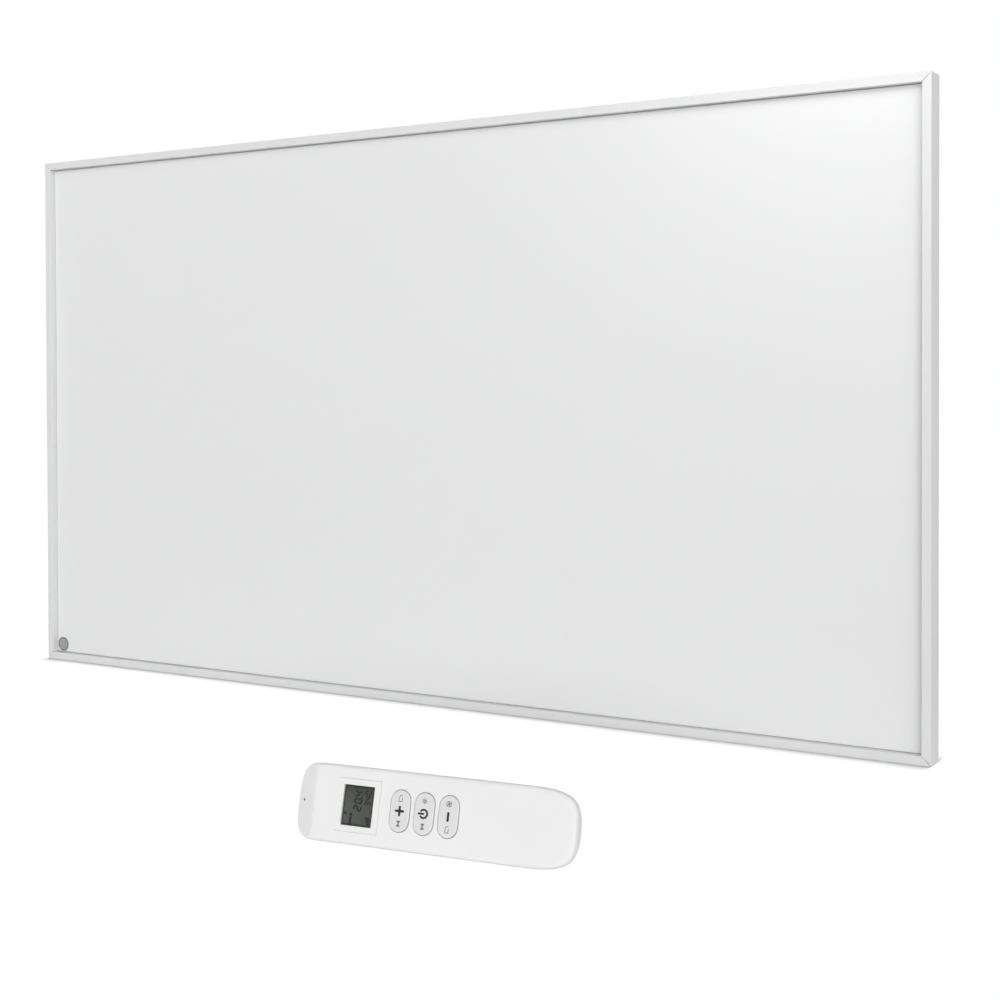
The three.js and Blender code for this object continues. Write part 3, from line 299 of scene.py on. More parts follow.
soft_lamp("corner_lamp", place=(0.42, -0.24, 0.4), target=(0.36, 0, 0.2), size=0.16, power=0.259)

# %% [markdown]
# ## Effects that several finishes share
#
# Each effect below is a node group, built once and placed in every finish that needs it
# with its own numbers. A group only gives out masks and heights. The shader itself stays
# in the material, where its plain values are easy to find.
#
# - `paint_skin` is the slight orange peel and the cloudiness of powder paint.
# - `edge_rub` finds convex edges, where coats are thin and handling shows first.
# - `settled_dust` finds corners and crevices that a cloth doesn't reach.
# - `drawn_lines` are the long fine scratches of rolled or brushed metal.
# - `mould_grain` is the spark-eroded texture of an injection mould.


# %% Shared groups
def new_group(name, inputs, outputs):
    group = bpy.data.node_groups.new(name, "ShaderNodeTree")
    kind = "NodeSocketFloat"
    for socket, value in inputs.items():
        made = group.interface.new_socket(name=socket, in_out="INPUT", socket_type=kind)
        made.default_value = value
    for socket in outputs:
        group.interface.new_socket(name=socket, in_out="OUTPUT", socket_type=kind)
    given = group.nodes.new("NodeGroupInput").outputs
    result = group.nodes.new("NodeGroupOutput").inputs
    return group, given, result


def noise(tree, vector, scale, detail=2.0, roughness=0.5):
    inputs = {"Vector": vector, "Scale": scale, "Detail": detail, "Roughness": roughness}
    return add(tree, "ShaderNodeTexNoise", inputs).outputs["Fac"]


def make_paint_skin():
    sockets = {"Peel Scale": 900.0, "Cloud Scale": 6.0}
    group, given, result = new_group("paint_skin", sockets, ["Height", "Cloud"])
    place = own_coordinates(group)
    peel = noise(group, place, given["Peel Scale"], detail=1.5)
    finer = math_node(group, "MULTIPLY", given["Peel Scale"], 3.1)
    grit = noise(group, place, finer, detail=1.0)
    height = math_node(group, "MULTIPLY_ADD", grit, 0.25)
    group.links.new(peel, height.node.inputs[2])
    group.links.new(height, result["Height"])
    group.links.new(noise(group, place, given["Cloud Scale"]), result["Cloud"])
    return group


def break_up(group, mask, scale, low, high, least=0.0):
    """Leaves a mask in patches only."""
    patches = noise(group, own_coordinates(group), scale, detail=3.0)
    return math_node(group, "MULTIPLY", mask, spread(group, patches, low, high, least, 1.0))


def make_edge_rub():
    sockets = {"Radius": 0.6 * MM, "Breakup": 250.0}
    group, given, result = new_group("edge_rub", sockets, ["Mask"])
    rounded = add(group, "ShaderNodeBevel", {"Radius": given["Radius"]}, samples=4)
    flat = add(group, "ShaderNodeNewGeometry").outputs["Normal"]
    edge = spread(group, dot_node(group, rounded.outputs[0], flat), 0.985, 0.86)
    group.links.new(break_up(group, edge, given["Breakup"], 0.42, 0.62), result["Mask"])
    return group


def make_settled_dust():
    sockets = {"Reach": 6 * MM, "Breakup": 90.0}
    group, given, result = new_group("settled_dust", sockets, ["Mask"])
    shade = add(group, "ShaderNodeAmbientOcclusion", {"Distance": given["Reach"]}, samples=4)
    corner = spread(group, shade.outputs["AO"], 0.75, 0.25)
    group.links.new(break_up(group, corner, given["Breakup"], 0.3, 0.6, 0.4), result["Mask"])
    return group


def make_drawn_lines():
    sockets = {"Scale": 60.0, "Stretch": 40.0}
    group, given, result = new_group("drawn_lines", sockets, ["Height", "Streak"])
    across = add(group, "ShaderNodeCombineXYZ", {0: 1.0, 1: given["Stretch"], 2: given["Stretch"]})
    inputs = {0: own_coordinates(group), 1: across.outputs[0]}
    stretched = add(group, "ShaderNodeVectorMath", inputs, operation="MULTIPLY").outputs[0]
    lines = noise(group, stretched, given["Scale"], detail=4.0, roughness=0.7)
    group.links.new(lines, result["Height"])
    group.links.new(spread(group, lines, 0.35, 0.65), result["Streak"])
    return group


def make_mould_grain():
    sockets = {"Grain Scale": 2600.0, "Flow Scale": 40.0}
    group, given, result = new_group("mould_grain", sockets, ["Height", "Flow"])
    place = own_coordinates(group)
    grain = noise(group, place, given["Grain Scale"], detail=1.0)
    flow = noise(group, place, given["Flow Scale"], detail=2.0)
    group.links.new(grain, result["Height"])
    group.links.new(flow, result["Flow"])
    return group


paint_skin = make_paint_skin()
edge_rub = make_edge_rub()
settled_dust = make_settled_dust()
drawn_lines = make_drawn_lines()
mould_grain = make_mould_grain()
print("shared groups:", sorted(g.name for g in bpy.data.node_groups))


# %% [markdown]
# ## A finish and how to start it
#
# Every finish below begins with the same few lines: a material, its Principled shader,
# and the plain values that are alike all over the surface. Only what changes over the
# surface is linked: a colour between two tones, a roughness between two values, and a
# bump height.


# %% Finish helpers
class Finish:
    """A material with its shader, and short ways to vary it over the surface."""

    def __init__(self, name, color, roughness, **plain):
        self.material = bpy.data.materials.new(name)
        self.material.use_nodes = True
        self.tree = self.material.node_tree
        self.shader = self.tree.nodes["Principled BSDF"]
        self.color = color
        self.shader.inputs["Base Color"].default_value = (*color, 1)
        self.shader.inputs["Roughness"].default_value = roughness
        for socket, value in plain.items():
            self.shader.inputs[socket.replace("_", " ")].default_value = value

    def group(self, group, **values):
        node = add(self.tree, "ShaderNodeGroup", node_tree=group)
        for socket, value in values.items():
            node.inputs[socket.replace("_", " ")].default_value = value
        return node.outputs

    def tint(self, mask, other, amount=1.0):
        """Moves the colour towards another one where the mask is high."""
        socket = self.shader.inputs["Base Color"]
        under = socket.links[0].from_socket if socket.links else self.color
        if amount < 1.0:
            mask = math_node(self.tree, "MULTIPLY", mask, amount)
        self.tree.links.new(blend_colors(self.tree, mask, under, other), socket)

    def roughen(self, mask, low, high):
        value = spread(self.tree, mask, 0.25, 0.75, low, high)
        self.tree.links.new(value, self.shader.inputs["Roughness"])

    def emboss(self, height, depth, strength=1.0):
        inputs = {"Height": height, "Distance": depth, "Strength": strength}
        normal = add(self.tree, "ShaderNodeBump", inputs).outputs["Normal"]
        self.tree.links.new(normal, self.shader.inputs["Normal"])


# %% [markdown]
# ## White powder coat
#
# The plate and the frame rails are coated with satin white powder. In the picture the rails
# are a shade darker than the plate, so they get a darker copy of the plate's coat: that
# difference is painted shade. Powder melts into a skin with a very slight orange peel, a
# little cloudy in tone, thinner and cooler on sharp edges, and it holds some dust in the
# groove round the plate. A plain white shader would look like paper, so the peel bends the
# highlights and the cloudiness breaks them.


# %% White powder coat
def cool_white(tone):
    return tone, tone * 1.003, tone * 1.008


def make_powder_coat(name, tone, cloudy_tone):
    finish = Finish(name, cool_white(tone), 0.42)
    skin = finish.group(paint_skin, Peel_Scale=700.0, Cloud_Scale=5.0)
    finish.tint(skin["Cloud"], cool_white(cloudy_tone), 0.5)
    worn = finish.group(edge_rub, Radius=0.5 * MM, Breakup=120.0)
    finish.tint(worn["Mask"], (0.68, 0.69, 0.7), 0.3)
    dust = finish.group(settled_dust, Reach=3 * MM)
    finish.tint(dust["Mask"], (0.6, 0.59, 0.57), 0.1)
    finish.roughen(skin["Cloud"], 0.38, 0.47)
    finish.emboss(skin["Height"], 0.04 * MM, 0.35)
    return finish.material


powder_coat = make_powder_coat("white_powder_coat", 0.77, 0.748)
# painted shade: the rails' coat is the plate's coat made darker
shaded_frame_coat = make_powder_coat("shaded_frame_coat", 0.715, 0.695)
print("made", powder_coat.name, shaded_frame_coat.name)

# %% [markdown]
# ## Galvanised sheet and other bare metals
#
# The back plate and the hangers are galvanised: the zinc freezes in crystals that each
# catch the light a little differently. A Voronoi pattern gives such crystals their own
# grey. Screws, studs and springs are drawn steel with fine lines along them, the foil is
# rolled aluminium, the corner keys are cut from an extrusion, and one contact is brass.


# %% Bare metals
def cells(tree, vector, scale):
    """Crystals or flakes: a grey for each one, and the distance from its middle."""
    found = add(tree, "ShaderNodeTexVoronoi", {"Vector": vector, "Scale": scale}).outputs
    return red_part(tree, found["Color"]), found["Distance"]


fray_reach = 6 * MM


def make_galvanised_sheet():
    finish = Finish("galvanised_sheet", (0.55, 0.57, 0.58), 0.42, Metallic=0.9)
    place = own_coordinates(finish.tree)
    inputs = {"Vector": place, "Scale": 170.0, "Detail": 3.0}
    wander = add(finish.tree, "ShaderNodeTexNoise", inputs).outputs["Color"]
    inputs = {0: wander, 1: (fray_reach,) * 3, 2: place}
    frayed = add(finish.tree, "ShaderNodeVectorMath", inputs, operation="MULTIPLY_ADD")
    tone, distance = cells(finish.tree, frayed.outputs[0], 130.0)
    finish.tint(tone, (0.39, 0.405, 0.42), 0.5)
    dull = noise(finish.tree, place, 9.0, detail=4.0)
    finish.tint(spread(finish.tree, dull, 0.5, 0.75, 0.0, 0.5), (0.6, 0.61, 0.62))
    dust = finish.group(settled_dust, Reach=12 * MM)
    finish.tint(dust["Mask"], (0.3, 0.3, 0.29), 0.5)
    finish.roughen(tone, 0.3, 0.52)
    finish.emboss(distance, 0.04 * MM, 0.3)
    return finish.material


def make_drawn_metal(name, color, darker, roughness, scale=60.0, stretch=30.0):
    finish = Finish(name, color, roughness, Metallic=1.0)
    lines = finish.group(drawn_lines, Scale=scale, Stretch=stretch)
    finish.tint(lines["Streak"], darker, 0.6)
    worn = finish.group(edge_rub, Radius=0.3 * MM)
    finish.tint(worn["Mask"], tuple(min(1, c * 1.3) for c in color), 0.5)
    finish.roughen(lines["Streak"], roughness - 0.08, roughness + 0.1)
    finish.emboss(lines["Height"], 0.02 * MM, 0.4)
    return finish.material


galvanised_sheet = make_galvanised_sheet()
bright_steel = make_drawn_metal("bright_steel", (0.6, 0.61, 0.62), (0.42, 0.43, 0.44), 0.3)
foil = make_drawn_metal("foil", (0.8, 0.81, 0.82), (0.66, 0.67, 0.68), 0.24, 20.0, 8.0)
key_metal = make_drawn_metal("corner_key", (0.62, 0.63, 0.65), (0.5, 0.51, 0.52), 0.42)
brass = make_drawn_metal("brass_contact", (0.75, 0.56, 0.24), (0.55, 0.39, 0.14), 0.28)
print("metals:", galvanised_sheet.name, bright_steel.name, foil.name, key_metal.name, brass.name)

# %% [markdown]
# ## Moulded plastics
#
# The remote is white ABS from a finely eroded mould, so its gloss is broken by a grain of
# a few hundredths of a millimetre and by faint flow clouds. The control box behind the
# panel is black, with a coarser grain that shows dust. The relay is a glossy blue, and
# the buttons' keypad is matt grey rubber. One recipe serves them all, with other numbers.


# %% Plastics and rubbers
def make_moulded(name, color, other, roughness, grain=2600.0, depth=0.02 * MM, dust=0.2,
                 dust_color=(0.45, 0.44, 0.42)):
    finish = Finish(name, color, roughness)
    mould = finish.group(mould_grain, Grain_Scale=grain, Flow_Scale=35.0)
    flow = spread(finish.tree, mould["Flow"], 0.3, 0.7)
    finish.tint(flow, other, 0.6)
    worn = finish.group(edge_rub, Radius=0.3 * MM, Breakup=300.0)
    finish.tint(worn["Mask"], tuple(c * 0.8 + 0.12 for c in color), 0.25)
    corner = finish.group(settled_dust, Reach=3 * MM)
    finish.tint(corner["Mask"], dust_color, dust)
    finish.roughen(mould["Flow"], roughness - 0.05, roughness + 0.06)
    finish.emboss(mould["Height"], depth, 0.35)
    return finish.material


white_plastic = make_moulded("white_plastic", (0.86, 0.86, 0.858), (0.835, 0.836, 0.838), 0.4)
button_plastic = make_moulded("button_plastic", (0.75, 0.75, 0.75), (0.72, 0.72, 0.722), 0.46)
black_plastic = make_moulded(
    "black_plastic", (0.022, 0.022, 0.024), (0.032, 0.032, 0.034), 0.5, 1500.0, 0.05 * MM, 0.3,
    (0.16, 0.155, 0.15))
grey_plastic = make_moulded("grey_disc", (0.33, 0.33, 0.335), (0.27, 0.27, 0.275), 0.45)
relay_blue = make_moulded("relay_blue", (0.03, 0.1, 0.3), (0.025, 0.085, 0.26), 0.25)
grey_rubber = make_moulded("grey_rubber", (0.5, 0.5, 0.51), (0.44, 0.44, 0.45), 0.75, 1200.0)
red_lead = make_moulded("red_lead", (0.45, 0.03, 0.02), (0.38, 0.025, 0.018), 0.42)
blue_lead = make_moulded("blue_lead", (0.03, 0.08, 0.38), (0.025, 0.065, 0.31), 0.42)
print("plastics:", white_plastic.name, black_plastic.name, grey_plastic.name)

# %% [markdown]
# ## What lies inside
#
# Behind the plate lie a mica board, a printed carbon track, foil and mineral wool, and
# there are circuit boards in the box and in the remote. They only show when the heater is
# taken apart, but each still gets its own surface: flakes in the mica, screen-print
# ripples in the carbon, matted fibres in the wool, and copper traces under green lacquer.


# %% Inner materials
def make_mica():
    finish = Finish("mica_board", (0.6, 0.5, 0.32), 0.5)
    tone, distance = cells(finish.tree, own_coordinates(finish.tree), 160.0)
    finish.tint(tone, (0.42, 0.33, 0.19))
    finish.roughen(tone, 0.3, 0.65)
    finish.emboss(distance, 0.1 * MM, 0.3)
    return finish.material


def make_carbon_track():
    finish = Finish("carbon_track", (0.018, 0.018, 0.019), 0.6)
    ripple = noise(finish.tree, own_coordinates(finish.tree), 1400.0, detail=3.0)
    finish.tint(spread(finish.tree, ripple, 0.4, 0.7), (0.05, 0.05, 0.052))
    finish.roughen(ripple, 0.5, 0.75)
    finish.emboss(ripple, 0.06 * MM, 0.4)
    return finish.material


def make_mineral_wool():
    finish = Finish("mineral_wool", (0.72, 0.66, 0.4), 0.95, Sheen_Weight=0.2)
    place = own_coordinates(finish.tree)
    inputs = {"Vector": place, "Scale": 60.0, "Distortion": 9.0, "Detail": 6.0}
    fibres = add(finish.tree, "ShaderNodeTexNoise", inputs).outputs["Fac"]
    finish.tint(spread(finish.tree, fibres, 0.35, 0.65), (0.5, 0.42, 0.2))
    finish.emboss(fibres, 1.2 * MM, 0.7)
    return finish.material


def make_circuit_green():
    finish = Finish("circuit_green", (0.03, 0.14, 0.06), 0.3, Coat_Weight=0.4)
    place = own_coordinates(finish.tree)
    inputs = {"Vector": place, "Scale": 260.0, "Mortar Size": 0.03, "Color1": (0, 0, 0, 1),
              "Color2": (0.3, 0.3, 0.3, 1), "Mortar": (1, 1, 1, 1)}
    traces = add(finish.tree, "ShaderNodeTexBrick", inputs).outputs["Color"]
    trace = red_part(finish.tree, traces)
    finish.tint(trace, (0.08, 0.27, 0.12), 0.6)
    finish.roughen(noise(finish.tree, place, 200.0), 0.25, 0.36)
    finish.emboss(trace, 0.04 * MM, 0.5)
    return finish.material


mica_board = make_mica()
carbon_track = make_carbon_track()
mineral_wool = make_mineral_wool()
circuit_green = make_circuit_green()
print("inner materials:", mica_board.name, carbon_track.name, mineral_wool.name)

# %% [markdown]
# ## Remote directions
#
# The remote stands askew, so straight up or across means nothing to it. Its push buttons
# move straight into its face, and the model keeps that direction as a joint axis. From it
# follow the remote's own three axes: along the body from head to tail, into the face, and
# across. Turning points into these axes gives every piece of it plain sizes again.

# %% Remote axes
press = next(j for j in frame["joints"] if j["name"] == "plus_press")
into_face = Vector(press["axis"]).normalized()
along_body = Vector((into_face.y, -into_face.x, 0)).normalized()
across_body = along_body.cross(into_face)
remote_axes = Matrix((along_body, into_face, across_body)).transposed()


def along_axes(name, axes):
    """A solid's points along some axes, with their lowest and highest corner."""
    points = [axes.transposed() @ v.co for v in nodes[name].data.vertices]
    low, high = (Vector(pick(p[i] for p in points) for i in range(3)) for pick in (min, max))
    return points, low, high


def remote_box(name):
    return along_axes(name, remote_axes)[1:]


def position(tree, axis, start, end):
    """How far a point of the remote lies along an axis, from 0 at start to 1 at end."""
    return spread(tree, dot_node(tree, own_coordinates(tree), tuple(axis)), start, end)


remote_low, remote_high = remote_box("remote_front_shell")
remote_size = [round(s / MM, 1) for s in remote_high - remote_low]
print("front shell of the remote, mm:", remote_size)

# %% [markdown]
# ## The display
#
# The display is a grey-green liquid crystal pane behind a clear window. Its tone darkens
# from the head side to the tail side. Its top and its border are painted darker: painted
# shade, as the frame round the window would cast it. All of it is mixed from the pane's
# own coordinates.


# %% Display pane
def make_display_pane():
    finish = Finish("display_grey", (0.084, 0.09, 0.08), 0.14, Specular_IOR_Level=0.3)
    tree = finish.tree
    low, high = remote_box("display_glass")
    lengthwise = position(tree, along_body, low.x, high.x)
    crosswise = position(tree, across_body, high.z, low.z)
    # the tone darkens from the head side to the tail side
    finish.tint(lengthwise, (0.055, 0.057, 0.05), 0.6)
    # painted shade: the top of the pane is darker, as the shadow of the window's frame
    finish.tint(spread(tree, crosswise, 0.45, 0.0, 0.0, 0.75), (0.034, 0.038, 0.031))
    # painted shade: a darker band along the border of the pane
    off_middle = [math_node(tree, "ABSOLUTE", math_node(tree, "SUBTRACT", part, 0.5))
                  for part in (lengthwise, crosswise)]
    rim = spread(tree, math_node(tree, "MAXIMUM", *off_middle), 0.43, 0.49)
    finish.tint(rim, (0.018, 0.019, 0.018), 0.75)
    smear = noise(tree, own_coordinates(tree), 90.0, detail=3.0)
    finish.roughen(smear, 0.08, 0.18)
    finish.emboss(smear, 0.01 * MM, 0.15)
    return finish.material


display_pane = make_display_pane()
print("made", display_pane.name)


# %% [markdown]
# ## Battery wraps
#
# The two round cells show when the battery door is off. A cell is a steel can in a
# printed sleeve, with a bare metal end. Bands along its length are enough for that: they
# follow from the position along the remote, between the two ends of the cell.


# %% Battery cells
def make_battery_wrap():
    finish = Finish("battery_wrap", (0.035, 0.045, 0.06), 0.28, Coat_Weight=0.5)
    tree = finish.tree
    low, high = remote_box("battery_upper")
    place = position(tree, along_body, low.x, high.x)
    band = math_node(tree, "GREATER_THAN", place, 0.7)
    finish.tint(band, (0.42, 0.2, 0.06))
    line = math_node(tree, "COMPARE", place, 0.69)
    line.node.inputs[2].default_value = 0.008
    finish.tint(line, (0.75, 0.75, 0.75))
    inner = math_node(tree, "GREATER_THAN", place, 0.03)
    outer = math_node(tree, "LESS_THAN", place, 0.95)
    bare = math_node(tree, "SUBTRACT", 1.0, math_node(tree, "MULTIPLY", inner, outer))
    finish.tint(bare, (0.6, 0.6, 0.61))
    tree.links.new(bare, finish.shader.inputs["Metallic"])
    finish.roughen(noise(tree, own_coordinates(tree), 300.0), 0.22, 0.34)
    return finish.material


battery_wrap = make_battery_wrap()
print("made", battery_wrap.name)

# %% [markdown]
# ## Softening edges and giving out the finishes
#
# The solids arrive with a separate corner for every face and no rounding at all. Real
# folded sheet and moulded shells have small radii that catch a thin line of light. The
# meshes themselves stay as they are, so this is done by modifiers: a small geometry node
# tree welds the corners and shades smooth, flat faces are merged, a bevel rounds the
# edges, and normals weighted by face area keep large faces flat.


# %% Edge modifiers
def make_weld_tree():
    tree = bpy.data.node_groups.new("weld_and_smooth", "GeometryNodeTree")
    for side in ("INPUT", "OUTPUT"):
        tree.interface.new_socket(
            name="Geometry", in_out=side, socket_type="NodeSocketGeometry")
    given = tree.nodes.new("NodeGroupInput").outputs["Geometry"]
    inputs = {"Geometry": given, "Distance": 0.005 * MM}
    weld = add(tree, "GeometryNodeMergeByDistance", inputs).outputs["Geometry"]
    inputs = {"Geometry": weld, "Name": "custom_normal"}
    plain = add(tree, "GeometryNodeRemoveAttribute", inputs).outputs["Geometry"]
    smooth = add(tree, "GeometryNodeSetShadeSmooth", {0: plain}).outputs[0]
    result = tree.nodes.new("NodeGroupOutput")
    tree.links.new(smooth, result.inputs["Geometry"])
    return tree


weld_and_smooth = make_weld_tree()
flat_angle = math.radians(0.2)
flat_face_weight = 90


def soften(piece, radius, segments=2, limit=30.0):
    """Rounds the edges of a piece by a small radius and keeps its flat faces flat."""
    bevel = piece.modifiers.new("round_edges", "BEVEL")
    bevel.width = radius
    bevel.segments = segments
    bevel.limit_method = "ANGLE"
    bevel.angle_limit = math.radians(limit)
    weighted = piece.modifiers.new("flat_faces", "WEIGHTED_NORMAL")
    weighted.weight = flat_face_weight


def dress(names, material, radius, segments=2):
    """Gives solids from the model their finish and their rounded edges."""
    for name in names:
        solid = nodes[name]
        weld = solid.modifiers.new("weld", "NODES")
        weld.node_group = weld_and_smooth
        merge = solid.modifiers.new("merge_faces", "DECIMATE")
        merge.decimate_type = "DISSOLVE"
        merge.angle_limit = flat_angle
        soften(solid, radius, segments)
        solid.material_slots[0].material = material
        solid["finished"] = True


def ends(stem):
    return [name for name in nodes if name.startswith(stem)]


dress(ends("rail_"), shaded_frame_coat, 0.4 * MM, 3)
dress(["front_plate"], powder_coat, 0.12 * MM, 3)
dress(["corner_disc"], grey_plastic, 0.1 * MM)
dress(ends("corner_key_"), key_metal, 0.2 * MM)
dress(["back_plate", *ends("hanger_plate_")], galvanised_sheet, 0.25 * MM)
dress([*ends("wall_stud_"), "thermal_cutout", "radio_receiver", "battery_spring_plate"],
      bright_steel, 0.2 * MM)
dress([*ends("lid_screw_"), *ends("remote_screw_")], bright_steel, 0.1 * MM)
dress(["battery_contact_plate"], brass, 0.1 * MM)
dress(["reflector_foil"], foil, 0.05 * MM)
dress(["heating_board"], mica_board, 0.1 * MM)
dress(["heating_track"], carbon_track, 0.05 * MM)
dress(["insulation_board"], mineral_wool, 0.4 * MM)
dress(["control_board", "remote_board"], circuit_green, 0.1 * MM)
dress(["relay"], relay_blue, 0.4 * MM)
dress(["lead_live"], red_lead, 0.1 * MM)
dress(["lead_neutral"], blue_lead, 0.1 * MM)
dress(["keypad_mat"], grey_rubber, 0.3 * MM)
dress(["battery_lower", "battery_upper"], battery_wrap, 0.15 * MM)
dress(["control_box_base", "control_box_lid"], black_plastic, 0.5 * MM, 3)
dress(["cable_gland", "gland_nut", "switch_housing", "switch_rocker"], black_plastic, 0.2 * MM)
dress(["display_module", "remote_sender"], black_plastic, 0.15 * MM)
dress(["terminal_block", "battery_door", "display_frame"], white_plastic, 0.2 * MM)
dress(["remote_front_shell", "remote_back_shell"], white_plastic, 0.15 * MM)
dress(["button_plus", "button_power", "button_minus"], button_plastic, 0.1 * MM)
dress(["display_glass"], display_pane, 0.15 * MM)
left = [name for name, solid in nodes.items() if not solid.get("finished")]
print("finished", len(nodes) - len(left), "solids, left:", left)

# %% [markdown]
# ## Printed marks
#
# The marks on the buttons are printed in dark grey, and the smaller ones beside them in a
# lighter grey. They could be painted by a material, but a print is a thin layer of ink
# with crisp edges, so each is made as that: flat outlines, a few hundredths of a
# millimetre thick, that rest on the button and travel with it. All are drawn upright
# with the head of the remote at the top, from two bricks: a bar with round ends and an
# arc with round ends.


# %% Outlines of ink
def round_bar(start, end, width, steps=6):
    """A bar between two points, closed by a half circle at each end."""
    a, b = Vector(start), Vector(end)
    heading = math.atan2(b.y - a.y, b.x - a.x)
    points = []
    for centre, first in ((b, heading - math.pi / 2), (a, heading + math.pi / 2)):
        for i in range(steps + 1):
            angle = first + math.pi * i / steps
            points.append(centre + width / 2 * Vector((math.cos(angle), math.sin(angle))))
    return points


def round_arc(centre, radius, width, start, end, steps=28):
    """A band along an arc, from one angle to another in degrees."""
    def at(distance, angle):
        return Vector(centre) + distance * Vector((math.cos(angle), math.sin(angle)))

    turns = [math.radians(start + (end - start) * i / steps) for i in range(steps + 1)]
    outer = [at(radius + width / 2, t) for t in turns]
    inner = [at(radius - width / 2, t) for t in reversed(turns)]
    return outer + inner


def round_ring(centre, radius, width):
    """A full ring, drawn as an arc that leaves out its last degree."""
    return round_arc(centre, radius, width, 0, 359)


def polygon(*points):
    return [Vector(p) for p in points]


def link_piece(name, mesh, material, body, place=None):
    if not mesh.materials:
        mesh.materials.append(material)
    piece = new_object(name, mesh)
    if place is not None:
        piece.matrix_world = place
    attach(piece, body)
    return piece


def prism(drawing, near, far):
    """Closes two matching outlines into a solid and returns the faces between them."""
    drawing.faces.new(near)
    drawing.faces.new(far[::-1])
    sides = []
    for i, corner in enumerate(near):
        after = (i + 1) % len(near)
        sides.append(drawing.faces.new((corner, far[i], far[after], near[after])))
    return sides


def store_mesh(drawing, name, smooth=False):
    """Turns a drawing into a mesh: faces look outward, and many-sided ones are split."""
    bmesh.ops.recalc_face_normals(drawing, faces=drawing.faces)
    bmesh.ops.triangulate(drawing, faces=[f for f in drawing.faces if len(f.verts) > 4])
    if smooth:
        for face in drawing.faces:
            face.smooth = True
    mesh = bpy.data.meshes.new(name)
    drawing.to_mesh(mesh)
    drawing.free()
    return mesh


def ink_mesh(name, outlines, thickness):
    """Flat outlines raised into a thin layer from y = 0 towards -y.

    An outline's first coordinate is read across the remote and its second one towards
    the head, which is -x.
    """
    drawing = bmesh.new()
    for outline in outlines:
        lower = [drawing.verts.new((-p.y, 0, p.x)) for p in outline]
        upper = [drawing.verts.new((-p.y, -thickness, p.x)) for p in outline]
        prism(drawing, lower, upper)
    return store_mesh(drawing, name)


ink_thickness = 0.04 * MM
ink_seat = 0.01 * MM


def print_place(name):
    """The matrix of a print that is seated in the middle of a piece's outer face."""
    low, high = remote_box(name)
    middle = (low + high) / 2
    matrix = remote_axes.to_4x4()
    matrix.translation = remote_axes @ Vector((middle.x, low.y - ink_seat, middle.z))
    return matrix


# %% Ink
def make_ink(name, color, **plain):
    finish = Finish(name, color, 0.5, **plain)
    grain = noise(finish.tree, own_coordinates(finish.tree), 1800.0, detail=3.0)
    finish.tint(spread(finish.tree, grain, 0.45, 0.8, 0.0, 0.5), tuple(c * 1.6 for c in color))
    finish.roughen(grain, 0.45, 0.6)
    finish.emboss(grain, 0.01 * MM, 0.3)
    return finish.material


dark_ink = make_ink("dark_ink", (0.012, 0.012, 0.013))
grey_ink = make_ink("grey_ink", (0.19, 0.19, 0.195))
print("inks:", dark_ink.name, grey_ink.name)

# %% [markdown]
# ## Marks on the three buttons
#
# The first button raises the temperature, the second switches the heater on and off, and
# the third lowers the temperature. On each side of a main mark stands a small grey one.
# They are drawn as general signs: an hourglass for the timer, a sun, a fan, and an open
# window.

# %% Button marks
mark_size = 6.2 * MM
mark_stroke = 1.45 * MM
sign_shift = 7.3 * MM
sign_size = 3.2 * MM
sign_stroke = 0.5 * MM


def rays(centre, count, near, far, width, steps=3, first=0.0):
    """Short round bars that point away from a centre."""
    bars = []
    for i in range(count):
        turn = math.radians(first + 360 / count * i)
        arm = Vector((math.cos(turn), math.sin(turn)))
        bars.append(round_bar(centre + arm * near, centre + arm * far, width, steps))
    return bars


def plus_mark():
    h = mark_size / 2 - mark_stroke / 2
    return [round_bar((-h, 0), (h, 0), mark_stroke), round_bar((0, -h), (0, h), mark_stroke)]


def minus_mark():
    h = mark_size * 0.46 - mark_stroke / 2
    return [round_bar((-h, 0), (h, 0), mark_stroke)]


def power_mark():
    radius = mark_size / 2 - mark_stroke / 2
    stroke = mark_stroke * 0.8
    ring = round_arc((0, 0), radius, stroke, 120, 420)
    return [ring, round_bar((0, 0.1 * MM), (0, mark_size / 2 + 0.2 * MM), stroke)]


def hourglass_sign(x):
    w, h, waist = sign_size * 0.56, sign_size * 0.36, sign_stroke * 0.75
    plate = w - sign_stroke
    return [
        polygon((x - w, -h), (x - plate, -h), (x - waist / 2, -waist), (x + waist / 2, -waist),
                (x + plate, -h), (x + w, -h), (x + w, h), (x + plate, h),
                (x + waist / 2, waist), (x - waist / 2, waist), (x - plate, h), (x - w, h)),
    ]


def sun_sign(x):
    core = round_ring((x, 0), sign_size * 0.22, sign_size * 0.2)
    near, far = sign_size * 0.42, sign_size * 0.56
    return [core, *rays(Vector((x, 0)), 8, near, far, sign_stroke * 0.7)]


def fan_sign(x):
    rim = round_ring((x, 0), sign_size * 0.5, sign_stroke * 0.7)
    reach, width = sign_size * 0.3, sign_stroke * 1.4
    return [rim, *rays(Vector((x, 0)), 4, 0, reach, width, steps=4, first=30)]


def window_sign(x):
    h, w = sign_size * 0.32, sign_size * 0.55
    frame_bars = [((x - w, -h), (x - w, h)), ((x - w, -h), (x + w * 0.3, -h)),
                  ((x - w, h), (x - w * 0.2, h))]
    leaf = [((x + w * 0.1, h), (x + w, h * 0.4)), ((x + w, h * 0.4), (x + w, -h * 0.8))]
    return [round_bar(a, b, sign_stroke * 0.85, 3) for a, b in frame_bars + leaf]


def print_button(button, mark, low_sign, high_sign, body):
    """Prints one button: its main mark, and a sign on each side of it."""
    place = print_place(button)
    name = button.replace("button_", "") + "_print"
    mesh = ink_mesh(name, mark(), ink_thickness)
    link_piece(name, mesh, dark_ink, body, place)
    signs = low_sign(-sign_shift) + high_sign(sign_shift)
    mesh = ink_mesh(name + "_signs", signs, ink_thickness)
    link_piece(name + "_signs", mesh, grey_ink, body, place)
    print(name, "at", [round(c, 4) for c in place.translation])


